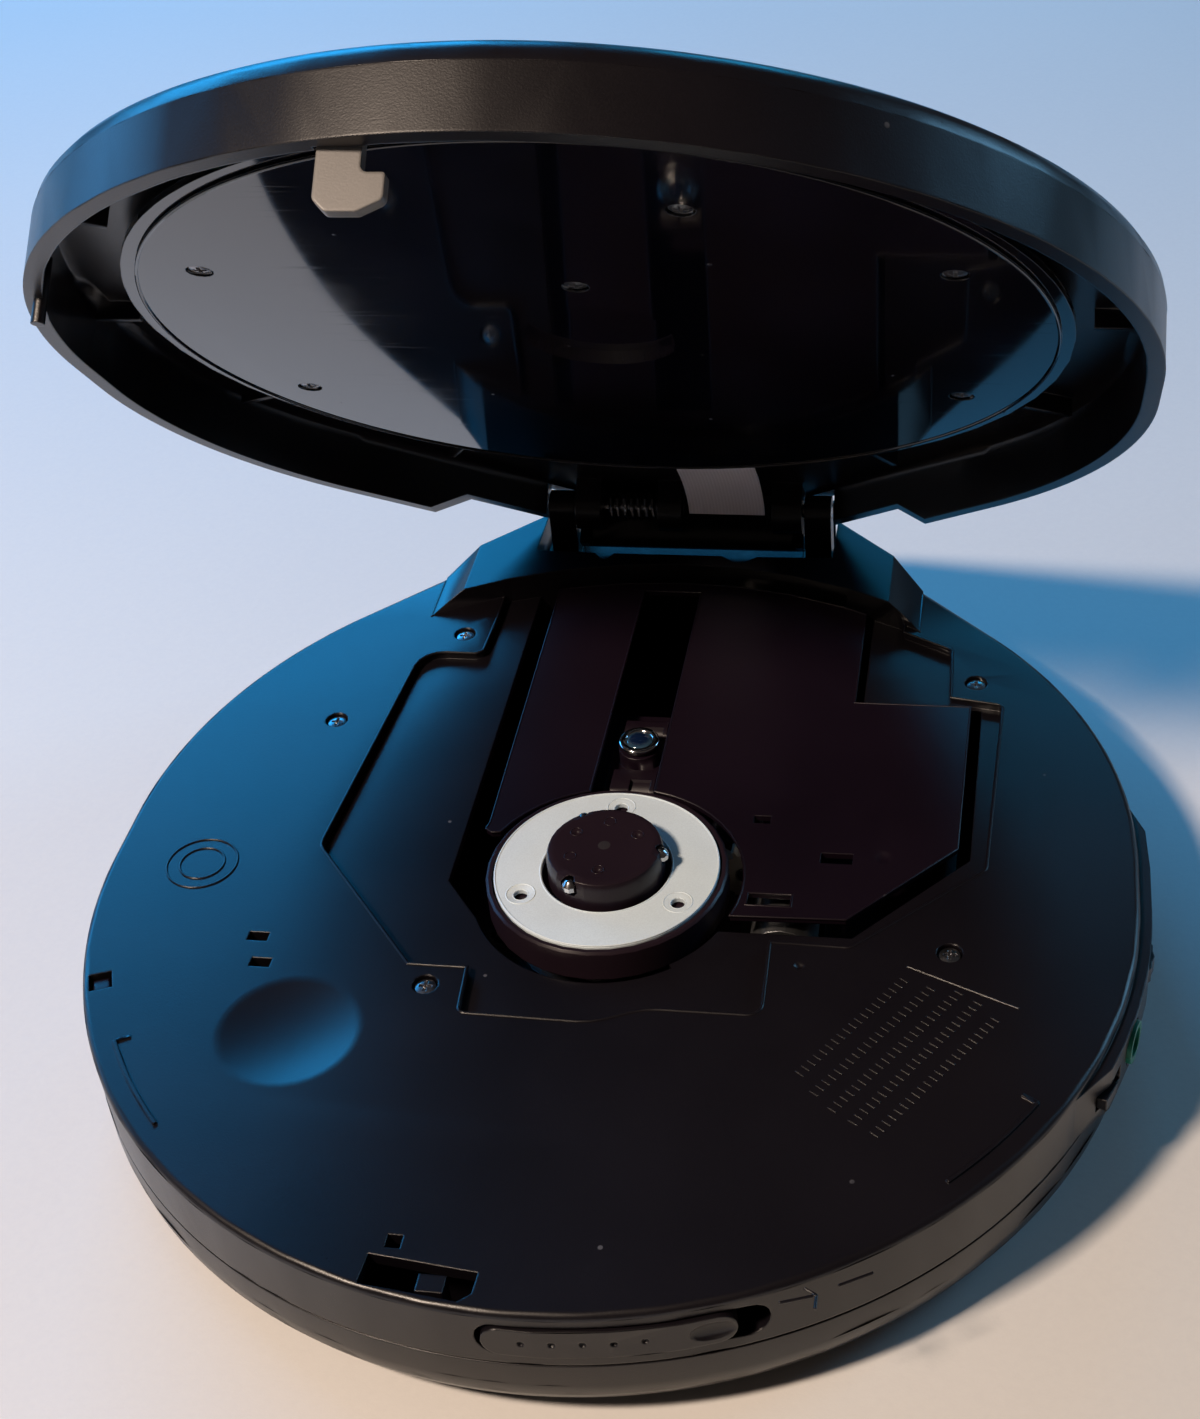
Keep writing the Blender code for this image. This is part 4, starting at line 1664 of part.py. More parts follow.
def place_pivots():
    height = DECK_HEIGHT - JACK_DROP
    door_y, door_z = door_axis()
    pivot("turntable_axis", Matrix(), ("turntable", "hub", "spindle_shaft", "motor_rotor") + BALL_NODES)
    pivot("sled_axis", Matrix.Translation((LENS_X, LENS_Y, ROD_HEIGHT)), ("pickup_sled", "lens_actuator", "objective_lens"))
    pivot("feed_axis", Matrix.Translation((SCREW_OFFSET, 0, ROD_HEIGHT)), ("feed_screw", "feed_gear"))
    pivot("pinion_axis", Matrix.Translation((DRIVE_OFFSET, 0, ROD_HEIGHT)), ("motor_pinion",))
    pivot("opener_axis", Matrix.Translation((0, 0, SLIDER_MIDDLE)), ("opener_slider", "latch_bar"))
    pivot("lid_switch_axis", Matrix.Translation((LID_PIN_X, LID_PIN_Y, DECK_HEIGHT)), ("lid_switch_plunger",))
    pivot("hold_axis", wall_frame(HOLD_ANGLE, POD_RADIUS, height), ("hold_switch",))
    pivot("volume_axis", wall_frame(VOLUME_ANGLE, volume_centre(), height), ("volume_wheel",))
    pivot("door_axis", Matrix.Translation((0, door_y, door_z)), ("battery_door",))
    lid = pivot("lid_axis", Matrix.Translation((0, HINGE_Y, HINGE_HEIGHT)), LID_NODES)
    for name, (x, y) in zip(BUTTON_NAMES, button_places()):
        pivot(name + "_axis", Matrix.Translation((x, y, LID_TOP)), (name + "_button",), lid)
    lid.rotation_euler.x = -math.radians(LID_OPEN_DEGREES)


def build():
    build_upper_cabinet()
    build_lower_shell()
    build_feet()
    build_battery_door()
    build_battery_contacts()
    build_main_board()
    build_chassis()
    build_mechanism_cover()
    build_dampers()
    build_spindle()
    build_turntable()
    build_hub()
    build_guide_rods()
    build_sled()
    build_optics()
    build_feed_drive()
    build_slider()
    build_latch_bar()
    build_latch_spring()
    build_lid_switch()
    build_side_controls()
    build_lid_shell()
    build_lid_plate()
    build_lid_hook()
    build_ribbon()
    build_lid_controls()
    build_hinge()
    settle()
    place_pivots()


clear_scene()
PLAYER = new_collection("disc_player")
GUIDES = new_collection("cutters")
build()
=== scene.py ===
"""Looks of the portable disc player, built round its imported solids."""

import json
import math

import bmesh
import bpy
import numpy as np
from mathutils import Matrix, Vector

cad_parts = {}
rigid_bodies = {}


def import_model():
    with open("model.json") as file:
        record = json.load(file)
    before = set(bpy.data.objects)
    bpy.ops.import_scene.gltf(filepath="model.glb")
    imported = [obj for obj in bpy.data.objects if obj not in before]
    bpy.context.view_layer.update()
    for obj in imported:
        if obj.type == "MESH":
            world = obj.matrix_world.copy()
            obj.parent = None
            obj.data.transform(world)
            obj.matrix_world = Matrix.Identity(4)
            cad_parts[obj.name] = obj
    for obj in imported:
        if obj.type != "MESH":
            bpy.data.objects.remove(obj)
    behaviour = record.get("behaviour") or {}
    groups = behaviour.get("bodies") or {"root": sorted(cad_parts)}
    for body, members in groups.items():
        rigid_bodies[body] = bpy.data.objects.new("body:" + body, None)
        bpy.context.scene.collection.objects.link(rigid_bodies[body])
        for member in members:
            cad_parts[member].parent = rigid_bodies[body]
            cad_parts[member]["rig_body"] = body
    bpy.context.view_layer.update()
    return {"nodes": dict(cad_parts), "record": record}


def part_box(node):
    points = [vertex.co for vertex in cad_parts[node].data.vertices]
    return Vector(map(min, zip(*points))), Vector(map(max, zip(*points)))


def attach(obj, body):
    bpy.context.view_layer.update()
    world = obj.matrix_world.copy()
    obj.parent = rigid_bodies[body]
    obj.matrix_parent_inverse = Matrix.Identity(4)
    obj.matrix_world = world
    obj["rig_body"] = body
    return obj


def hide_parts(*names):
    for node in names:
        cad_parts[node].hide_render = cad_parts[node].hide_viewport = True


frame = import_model()

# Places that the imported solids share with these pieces, in metres
MM = 0.001
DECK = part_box("spindle_shaft")[1].z - 1.59 * MM
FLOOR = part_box("foot_front_left")[0].z
HINGE_POINT = Vector((0, 77.1 * MM, 22.96 * MM))
LID_TURN = math.radians(-48.41)
BODY_RADIUS = 65.6 * MM
SIDE_RUN = 8.0 * MM
PLATE_UNDER = 22.37 * MM
LENS_AXIS = (-0.44 * MM, 27.6 * MM)

# Points closer than this are one point
SAME_POINT = 0.0005 * MM


# Shader maths

class Socket:
    """A socket in a node tree, with the arithmetic that the materials use."""

    def __init__(self, graph, link):
        self.graph = graph
        self.link = link

    def _math(self, operation, first, second=0.0):
        return self.graph.node("ShaderNodeMath", {"operation": operation}, {0: first, 1: second})

    def __add__(self, other):
        return self._math("ADD", self, other)

    __radd__ = __add__

    def __sub__(self, other):
        return self._math("SUBTRACT", self, other)

    def __rsub__(self, other):
        return self._math("SUBTRACT", other, self)

    def __mul__(self, other):
        return self._math("MULTIPLY", self, other)

    __rmul__ = __mul__

    def __truediv__(self, other):
        return self._math("DIVIDE", self, other)

    def __rtruediv__(self, other):
        return self._math("DIVIDE", other, self)

    def __pow__(self, other):
        return self._math("POWER", self, other)

    def sine(self):
        return self._math("SINE", self)

    def above(self, limit):
        return self._math("GREATER_THAN", self, limit)

    def clamped(self):
        return self._math("MINIMUM", self._math("MAXIMUM", self, 0.0), 1.0)

    def ramp(self, low, high):
        """Rises smoothly from 0 at low to 1 at high."""
        return self.graph.node("ShaderNodeMapRange", {"interpolation_type": "SMOOTHSTEP"},
                               {"Value": self, "From Min": low, "From Max": high})


class Graph:
    """Node tree of one material, with its Principled shader."""

    def __init__(self, name):
        self.material = bpy.data.materials.new(name)
        self.material.use_nodes = True
        self.tree = self.material.node_tree
        self.shader = next(n for n in self.tree.nodes if n.type == "BSDF_PRINCIPLED")

    def node(self, kind, settings=None, inputs=None, output=0):
        """Adds a node with its settings first and then its sockets' values or links."""
        made = self.tree.nodes.new(kind)
        for key, value in (settings or {}).items():
            setattr(made, key, value)
        for key, value in (inputs or {}).items():
            self.feed(made.inputs[key], value)
        return Socket(self, made.outputs[output])

    def feed(self, target, value):
        if isinstance(value, Socket):
            self.tree.links.new(value.link, target)
        elif hasattr(target.default_value, "__len__") and len(value) == 3 and len(target.default_value) == 4:
            target.default_value = (*value, 1.0)
        else:
            target.default_value = value

    def place(self):
        return self.node("ShaderNodeTexCoord", output="Object")

    def axis(self, index):
        return self.node("ShaderNodeSeparateXYZ", None, {0: self.place()}, index)

    def noise(self, per_mm, detail=2.0, roughness=0.5, vector=None):
        """Noise with about this many grains in a millimetre."""
        return self.node("ShaderNodeTexNoise", None, {"Vector": vector or self.place(), "Scale": per_mm / MM,
                                                      "Detail": detail, "Roughness": roughness})

    def cells(self, per_mm):
        return self.node("ShaderNodeTexVoronoi", None, {"Vector": self.place(), "Scale": per_mm / MM})

    def stretched(self, scale):
        return self.node("ShaderNodeMapping", None, {"Vector": self.place(), "Scale": scale})

    def tint(self, factor, dark, light):
        """Colour between two colours."""
        return self.node("ShaderNodeMix", {"data_type": "RGBA"}, {0: factor, 6: dark, 7: light}, 2)

    def relief(self, height, depth_mm, edge_mm=0.0):
        """Bump of a height from 0 to 1, over edges that are rounded in the shading."""
        inputs = {"Height": height, "Distance": depth_mm * MM, "Strength": 1.0}
        if edge_mm:
            inputs["Normal"] = self.rounded(edge_mm)
        return self.node("ShaderNodeBump", None, inputs)

    def rounded(self, edge_mm):
        return self.node("ShaderNodeBevel", {"samples": 6}, {"Radius": edge_mm * MM})

    def finish(self, **sockets):
        for key, value in sockets.items():
            self.feed(self.shader.inputs[key.replace("_", " ")], value)
        return self.material


DUST_TONE = (0.20, 0.20, 0.22)
PLATE_DUST_TONE = (0.25, 0.26, 0.30)
TURNING_PITCH = 0.22 * MM
TRACK_PITCH = 1.27 * MM
CONDUCTOR_PITCH = 0.5 * MM
LENS_EDGE = 1.8 * MM


def moulded(name, dark, light, roughness, grain=0.012, edge=0.28, dust=0.35, gloss=1.5):
    """Moulded plastic: slow shifts of tone, a fine spark-eroded grain, specks of dust and soft edges."""
    graph = Graph(name)
    slow = graph.noise(0.03, 3.0)
    fine = graph.noise(5.0, 2.0, 0.6)
    near = graph.cells(0.16)
    dots = (near * -1 + 0.055).ramp(0.0, 0.02) * graph.noise(0.1, 1.0).ramp(0.56, 0.62) * dust
    colour = graph.tint((slow * 0.8 + fine * 0.2).ramp(0.3, 0.7), dark, light)
    colour = graph.tint(dots, colour, DUST_TONE)
    rough = roughness + (slow - 0.5) * 0.10 + (fine - 0.5) * 0.08
    return graph.finish(Base_Color=colour, Roughness=rough.clamped(), IOR=gloss,
                        Normal=graph.relief(fine, grain, edge))


def metal(name, dark, light, roughness, stretch=(1, 1, 1), depth=0.004, edge=0.12):
    """Metal with a fine grain, drawn out along one axis where it is brushed or ground."""
    graph = Graph(name)
    grain = graph.noise(3.0, 3.0, 0.65, graph.stretched(stretch))
    slow = graph.noise(0.05, 2.0)
    colour = graph.tint((grain * 0.6 + slow * 0.4).ramp(0.3, 0.7), dark, light)
    rough = roughness + (grain - 0.5) * 0.14 + (slow - 0.5) * 0.08
    return graph.finish(Base_Color=colour, Roughness=rough.clamped(), Metallic=1.0,
                        Normal=graph.relief(grain, depth, edge))


def gloss_plate(name):
    """Polished black plate with faint smears, fine hairlines and a few specks."""
    graph = Graph(name)
    smear = graph.noise(0.05, 4.0, 0.6, graph.stretched((1.0, 0.35, 1.0)))
    hair = graph.noise(1.2, 2.0, 0.5, graph.stretched((0.06, 1.0, 1.0)))
    near = graph.cells(0.14)
    dots = (near * -1 + 0.06).ramp(0.0, 0.03) * graph.noise(0.08, 1.0).ramp(0.52, 0.6)
    colour = graph.tint(smear.ramp(0.35, 0.7), (0.0015, 0.0015, 0.003), (0.004, 0.004, 0.008))
    colour = graph.tint(dots * 0.5, colour, PLATE_DUST_TONE)
    rough = 0.05 + smear.ramp(0.4, 0.75) * 0.07 + hair.ramp(0.62, 0.72) * 0.08 + dots * 0.3
    return graph.finish(Base_Color=colour, Roughness=rough.clamped(), Coat_Weight=0.35, Coat_Roughness=0.04,
                        Normal=graph.relief(smear, 0.01, 0.15))


def turned_metal(name):
    """Blasted aluminium with faint turning rings about the disc axis, its colour tinted blue as a painted
    reflection of the blue windows.
    """
    graph = Graph(name)
    x = graph.axis(0)
    y = graph.axis(1)
    rings = ((x * x + y * y) ** 0.5 * (math.tau / TURNING_PITCH)).sine() * 0.5 + 0.5
    grain = graph.noise(6.0, 2.0, 0.7)
    slow = graph.noise(0.08, 2.0)
    # The blue tint of these colours is a painted reflection of the blue windows, not the metal's own colour.
    colour = graph.tint((grain * 0.5 + slow * 0.5).ramp(0.3, 0.7), (0.64, 0.74, 0.80), (0.76, 0.87, 0.93))
    rough = 0.48 + (grain - 0.5) * 0.2 + rings * 0.04
    return graph.finish(Base_Color=colour, Roughness=rough.clamped(), Metallic=0.12,
                        Normal=graph.relief(grain * 0.8 + rings * 0.2, 0.006, 0.12))


def rubber(name):
    graph = Graph(name)
    fine = graph.noise(3.0, 3.0, 0.7)
    dust = graph.noise(0.2, 3.0, 0.6)
    colour = graph.tint(dust.ramp(0.45, 0.75), (0.022, 0.022, 0.024), (0.075, 0.072, 0.070))
    rough = 0.72 + (fine - 0.5) * 0.3
    return graph.finish(Base_Color=colour, Roughness=rough.clamped(), Normal=graph.relief(fine, 0.02, 0.2))


def circuit_board(name):
    """Green solder mask over tracks that run in a grid, with bare pads."""
    graph = Graph(name)
    x = graph.axis(0) / TRACK_PITCH
    y = graph.axis(1) / TRACK_PITCH
    tracks = (x * math.tau).sine().above(0.62) + (y * math.tau).sine().above(0.80)
    broken = graph.noise(0.12, 1.0).ramp(0.45, 0.5) * tracks
    pads = (graph.cells(0.35) * -1 + 0.16).ramp(0.0, 0.02)
    colour = graph.tint(broken.clamped(), (0.010, 0.085, 0.040), (0.025, 0.150, 0.070))
    colour = graph.tint(pads * 0.8, colour, (0.58, 0.55, 0.45))
    return graph.finish(Base_Color=colour, Roughness=0.35 - pads * 0.1, Metallic=pads * 0.7,
                        Normal=graph.relief(broken.clamped(), 0.03, 0.1))


def flex_film(name):
    """Flat flex cable: pale film with its conductors showing as fine lines along it."""
    graph = Graph(name)
    lines = (graph.axis(0) * (math.tau / CONDUCTOR_PITCH)).sine() * 0.5 + 0.5
    slow = graph.noise(0.15, 2.0)
    colour = graph.tint(lines.ramp(0.3, 0.9) * 0.5 + slow * 0.3, (0.85, 0.76, 0.80), (1.0, 0.92, 0.96))
    return graph.finish(Base_Color=colour, Roughness=0.42 + (slow - 0.5) * 0.2,
                        Normal=graph.relief(lines, 0.02, 0.05))


def coated_lens(name):
    """Objective lens: dark blue coated glass, paler toward its edge."""
    graph = Graph(name)
    x = graph.axis(0) - LENS_AXIS[0]
    y = graph.axis(1) - LENS_AXIS[1]
    edge = (x * x + y * y) ** 0.5 / LENS_EDGE
    colour = graph.tint(edge.ramp(0.55, 1.0), (0.004, 0.012, 0.040), (0.03, 0.07, 0.11))
    return graph.finish(Base_Color=colour, Roughness=0.03 + graph.noise(1.0, 2.0) * 0.03, IOR=1.75,
                        Coat_Weight=0.8, Coat_Roughness=0.02)


def smoked_window(name):
    graph = Graph(name)
    smear = graph.noise(0.08, 4.0, 0.6)
    colour = graph.tint(smear.ramp(0.3, 0.7), (0.055, 0.060, 0.066), (0.085, 0.090, 0.096))
    return graph.finish(Base_Color=colour, Roughness=0.04 + smear.ramp(0.45, 0.8) * 0.08, IOR=1.49,
                        Transmission_Weight=0.6, Coat_Weight=0.3)


FINISHES = {
    "shell": moulded("satin_black", (0.0034, 0.0026, 0.0040), (0.0062, 0.0048, 0.0070), 0.31),
    "gloss": gloss_plate("polished_black"),
    "mechanism": moulded("mechanism_black", (0.0044, 0.0018, 0.0046), (0.0080, 0.0036, 0.0082), 0.34,
                         0.010, 0.22, dust=0.2),
    "hub": moulded("hub_black", (0.0120, 0.0070, 0.0110), (0.0190, 0.0110, 0.0170), 0.30, 0.004, 0.18,
                   gloss=1.33),
    "platter": turned_metal("blasted_aluminium"),
    "steel": metal("ground_steel", (0.46, 0.46, 0.48), (0.66, 0.66, 0.68), 0.22),
    "sheet": metal("plated_sheet", (0.42, 0.43, 0.45), (0.56, 0.57, 0.59), 0.38, (1, 0.08, 1)),
    "dark_steel": metal("laminated_steel", (0.11, 0.11, 0.12), (0.20, 0.20, 0.21), 0.36, (1, 1, 8)),
    "hub_mark": moulded("hub_mark", (0.020, 0.018, 0.020), (0.035, 0.030, 0.034), 0.35, 0.004, 0.1, dust=0.0),
    "bright_rim": metal("bright_rim", (0.55, 0.56, 0.58), (0.80, 0.81, 0.83), 0.10, (1, 1, 1), 0.002, 0.05),
    "screw": metal("blackened_screw", (0.20, 0.20, 0.21), (0.40, 0.40, 0.42), 0.30, (1, 1, 1), 0.004, 0.05),
    "brass": metal("turned_brass", (0.52, 0.39, 0.17), (0.72, 0.58, 0.32), 0.28),
    "rubber": rubber("foot_rubber"),
    "grey": moulded("hook_grey", (0.12, 0.115, 0.112), (0.18, 0.172, 0.166), 0.34, 0.008, 0.35),
    "ribbon": flex_film("flex_film"),
    "white": moulded("white_acetal", (0.62, 0.61, 0.56), (0.74, 0.72, 0.67), 0.42, 0.004, 0.1, dust=0.0),
    "green": moulded("jack_green", (0.006, 0.150, 0.100), (0.012, 0.220, 0.150), 0.35, 0.004, 0.15, dust=0.0),
    "board": circuit_board("circuit_board"),
    "lens": coated_lens("coated_lens"),
    "window": smoked_window("smoked_window"),
}
# Nodes whose finish isn't the one named after their slot
NODE_FINISH = {"hub": "hub"}


# Finished copies of the solids

LEVEL_SLACK = 0.002 * MM
RADIUS_SLACK = 0.004 * MM
JOIN_SLACK = 0.05 * MM
LEAST_RADIUS = 5 * MM
BODY_SIZED = 50 * MM
CHORD_DEGREES = (0.5, 9)
CHORD_CUTS = 3
FLAT_DEGREES = 0.4
EVEN_WEIGHT = 90


def chord_centre(first, second):
    """Middle of the round that an edge is a chord of, or None where it is a straight edge.

    Behind the disc axis the body's round is about the disc axis moved back by the side run.
    """
    if abs(first.z - second.z) > LEVEL_SLACK:
        return None
    for y in (0.0, SIDE_RUN):
        centre = Vector((0, y, 0))
        one = (first - centre).xy
        two = (second - centre).xy
        if y == 0.0 and max(first.y, second.y) > JOIN_SLACK and one.length > BODY_SIZED:
            continue
        if y > 0.0 and (min(first.y, second.y) < y - JOIN_SLACK or one.length < BODY_SIZED):
            continue
        if abs(one.length - two.length) < RADIUS_SLACK and one.length > LEAST_RADIUS:
            if CHORD_DEGREES[0] < math.degrees(one.angle(two)) < CHORD_DEGREES[1]:
                return centre
    return None


def finish_copy(node, lid):
    """Copy of a solid with its points merged, its flats whole and its coarse rounds made true.

    Each chord of a round about the disc axis is divided, and its new points go out to the round's radius.
    """
    mesh = frame["nodes"][node].data.copy()
    work = bmesh.new()
    work.from_mesh(mesh)
    if lid:
        turn_lid(work, LID_TURN * -1)
    bmesh.ops.remove_doubles(work, verts=work.verts, dist=SAME_POINT)
    bmesh.ops.dissolve_limit(work, angle_limit=math.radians(FLAT_DEGREES), verts=work.verts, edges=work.edges)
    divide_rounds(work)
    if lid:
        turn_lid(work, LID_TURN)
    bmesh.ops.recalc_face_normals(work, faces=work.faces)
    work.to_mesh(mesh)
    work.free()
    return add_piece(node + "_finish", mesh, node)


def turn_lid(work, angle):
    """Turns a mesh about the hinge: by LID_TURN from the closed lid's places to the open lid's."""
    about_hinge = (Matrix.Translation(HINGE_POINT) @ Matrix.Rotation(angle, 4, "X")
                   @ Matrix.Translation(-HINGE_POINT))
    bmesh.ops.transform(work, matrix=about_hinge, verts=work.verts)


def divide_rounds(work):
    chords = {}
    for edge in work.edges:
        centre = chord_centre(edge.verts[0].co, edge.verts[1].co)
        if centre is not None:
            chords[edge] = (centre, (edge.verts[0].co - centre).xy.length)
    for edge, (centre, radius) in chords.items():
        made = bmesh.ops.subdivide_edges(work, edges=[edge], cuts=CHORD_CUTS)
        for vert in made["geom_inner"]:
            if isinstance(vert, bmesh.types.BMVert):
                spoke = vert.co - centre
                height = spoke.z
                spoke.z = 0
                spoke = spoke.normalized() * radius
                vert.co = centre + spoke + Vector((0, 0, height))


def add_piece(name, mesh, node=None, finish=None, body=None, sharp=32):
    """Makes a mesh a piece that rides on a body, smooth where it is round."""
    mesh.name = name
    piece = bpy.data.objects.new(name, mesh)
    bpy.context.scene.collection.objects.link(piece)
    mesh.shade_smooth()
    mesh.set_sharp_from_angle(angle=math.radians(sharp))
    even = piece.modifiers.new("even_flats", "WEIGHTED_NORMAL")
    even.mode = "FACE_AREA_WITH_ANGLE"
    even.weight = EVEN_WEIGHT
    even.keep_sharp = True
    slots = {part["node"]: part["material_slot"] for part in frame["record"]["subparts"]}
    if node:
        finish = NODE_FINISH.get(node, slots[node])
        body = next(b for b, members in frame["record"]["behaviour"]["bodies"].items() if node in members)
        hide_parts(node)
    mesh.materials.clear()
    mesh.materials.append(FINISHES[finish])
    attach(piece, body)
    return piece


def grid_mesh(points):
    """Mesh over a grid of points, its second direction closed into a ring."""
    rows, columns = points.shape[:2]
    index = np.arange(rows * columns).reshape(rows, columns)
    index = np.concatenate([index, index[:, :1]], axis=1)
    quads = np.stack([index[:-1, :-1], index[:-1, 1:], index[1:, 1:], index[1:, :-1]], axis=-1).reshape(-1, 4)
    mesh = bpy.data.meshes.new("grid")
    mesh.from_pydata(points.reshape(-1, 3).tolist(), [], quads.tolist())
    work = bmesh.new()
    work.from_mesh(mesh)
    bmesh.ops.remove_doubles(work, verts=work.verts, dist=SAME_POINT)
    bmesh.ops.recalc_face_normals(work, faces=work.faces)
    work.to_mesh(mesh)
    work.free()
    return mesh


for node in frame["nodes"]:
    on_lid = frame["nodes"][node]["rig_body"] == "lid"
    if node != "objective_lens":
        finish_copy(node, on_lid)


# Fine forms added to the solids

TUBE_SIDES = 8
BAR_SIDES = 6
MITRE_LIMIT = 0.6
TURNED_STEPS = 96


def new_piece(name, mesh, finish, body, sharp=40):
    """Piece of its own that takes its place on a body and its finish from a slot of the record."""
    piece = add_piece(name, mesh, finish=finish, body=body, sharp=sharp)
    return piece


def tube_points(path, radius, closed, sides):
    """Grid of points round a level path.

    Each point of the path carries a ring p + r (cos a n m + sin a z), where n is the mean of the two sides'
    normals in plan and m = 1 / cos(half the turn) keeps the tube's width through a corner.
    """
    path = np.asarray(path, float)
    if closed:
        before = np.roll(path, 1, axis=0)
        after = np.roll(path, -1, axis=0)
    else:
        before = np.concatenate([path[:1] * 2 - path[1:2], path[:-1]])
        after = np.concatenate([path[1:], path[-1:] * 2 - path[-2:-1]])
    one = (path - before)[:, :2]
    two = (after - path)[:, :2]
    one /= np.linalg.norm(one, axis=1, keepdims=True)
    two /= np.linalg.norm(two, axis=1, keepdims=True)
    mean = one + two
    mean /= np.linalg.norm(mean, axis=1, keepdims=True)
    widen = 1 / np.clip((mean * one).sum(axis=1), MITRE_LIMIT, 1)
    normal = np.stack([mean[:, 1], -mean[:, 0]], axis=1) * widen[:, None]
    turn = np.arange(sides) * math.tau / sides
    ring = np.zeros((len(path), sides, 3))
    ring[:, :, :2] = normal[:, None, :] * np.cos(turn)[None, :, None] * radius
    ring[:, :, 2] = np.sin(turn) * radius
    return path[:, None, :] + ring


def tube_mesh(path, radius, closed=False, sides=TUBE_SIDES):
    """Tube along a level path, closed into a loop or with closed ends."""
    points = tube_points(path, radius, closed, sides)
    if closed:
        return grid_mesh(np.concatenate([points, points[:1]]))
    first = np.repeat(points[:1].mean(1, keepdims=True), sides, 1)
    last = np.repeat(points[-1:].mean(1, keepdims=True), sides, 1)
    return grid_mesh(np.concatenate([first, points, last]))


def ring_mesh(centre, radius, height, thickness, steps):
    """Level ring: a tube along the circle x = cx + r cos a, y = cy + r sin a."""
    turn = np.arange(steps) * math.tau / steps
    path = np.stack([centre[0] + radius * np.cos(turn), centre[1] + radius * np.sin(turn),
                     np.full(steps, height)], axis=1)
    return tube_mesh(path, thickness, True)


def turned_mesh(profile, centre=(0, 0), steps=TURNED_STEPS):
    """Surface turned about an upright axis: x = cx + r cos a, y = cy + r sin a, z from the profile."""
    profile = np.asarray(profile, float)
    turn = np.arange(steps) * math.tau / steps
    points = np.stack([centre[0] + profile[:, :1] * np.cos(turn), centre[1] + profile[:, :1] * np.sin(turn),
                       np.repeat(profile[:, 1:], steps, 1)], axis=-1)
    return grid_mesh(points)


def profile_at(top, profile_mm):
    """Profile in metres from radii and heights over the top, in millimetres."""
    return [(radius * MM, top + height * MM) for radius, height in profile_mm]


def orbit_place(orbit, degrees):
    turn = math.radians(degrees)
    return orbit * math.cos(turn), orbit * math.sin(turn)


def merged_mesh(meshes):
    work = bmesh.new()
    for mesh in meshes:
        work.from_mesh(mesh)
        bpy.data.meshes.remove(mesh)
    made = bpy.data.meshes.new("merged")
    work.to_mesh(made)
    work.free()
    return made


EDGE_LEVEL_SLACK = 0.01 * MM
UPWARD = 0.99
FALLING_AWAY = 0.9
LEAST_STEP = 0.02 * MM
CLOSING_GAP = 0.05 * MM
LIP_REACH = 90 * MM


def edge_chains(node, level, least):
    """Rows of points along the edges where a solid's level face drops away, at least so long."""
    work = bmesh.new()
    work.from_mesh(frame["nodes"][node].data)
    bmesh.ops.remove_doubles(work, verts=work.verts, dist=SAME_POINT)
    near = {}
    for edge in work.edges:
        if len(edge.link_faces) == 2 and max(abs(v.co.z - level) for v in edge.verts) < EDGE_LEVEL_SLACK:
            slopes = sorted(face.normal.z for face in edge.link_faces)
            if slopes[1] > UPWARD and abs(slopes[0]) < FALLING_AWAY:
                for vert in edge.verts:
                    near.setdefault(vert, []).append(edge.other_vert(vert))
    chains = []
    while near:
        start = min(near, key=lambda vert: (len(near[vert]), vert.index))
        chain = [start]
        while near.get(chain[-1]):
            follow = near[chain[-1]].pop()
            near[follow].remove(chain[-1])
            chain.append(follow)
        for vert in chain:
            if not near.get(vert):
                near.pop(vert, None)
        points = np.array([vert.co[:] for vert in chain])
        if np.linalg.norm(np.diff(points, axis=0), axis=1).sum() > least:
            chains.append(points)
    work.free()
    return chains


def add_lip(name, node, level, least, radius, sink, slot):
    """Fine rounded lip along the edges of a solid's level face, within reach of the disc axis."""
    meshes = []
    for points in edge_chains(node, level, least):
        if np.hypot(points[:, 0], points[:, 1]).max() > LIP_REACH:
            continue
        keep = np.ones(len(points), bool)
        keep[1:] = np.linalg.norm(np.diff(points, axis=0), axis=1) > LEAST_STEP
        points = points[keep]
        closed = np.linalg.norm(points[0] - points[-1]) < CLOSING_GAP
        points[:, 2] = level - sink
        meshes.append(tube_mesh(points[:-1] if closed else points, radius, closed))
    new_piece(name, merged_mesh(meshes), slot, "base")


# Screw heads: places as shares of the body's radius, forms as shares of the head's radius
SCREW_SHARES = ((-0.665, 0.446), (-0.457, 0.768), (-0.287, -0.308), (0.677, 0.655), (0.657, -0.152))
PLATE_SCREW_SHARES = ((-0.640, 0.305), (-0.640, -0.305), (0.640, 0.305), (0.640, -0.305), (0.003, -0.244),
                      (0.229, -0.564))
SCREW_HEAD = 1.28 * MM
SCREW_ROWS = 26
SCREW_STEPS = 88
HEAD_FALL = 0.14
HEAD_SIDE = 0.45
CROSS_DEPTH = 0.34
CROSS_HALF_WIDTH = 0.17
CROSS_REACH = 0.62
CROSS_WIDTH_EASE = 0.06
CROSS_END_EASE = 0.08
DECK_SCREW_SINK = 0.22 * MM
PLATE_SCREW_SINK = 0.10 * MM
PLATE_BEAD_RADIUS = 53.4 * MM
PLATE_BEAD = 0.22 * MM
PLATE_BEAD_STEPS = 180


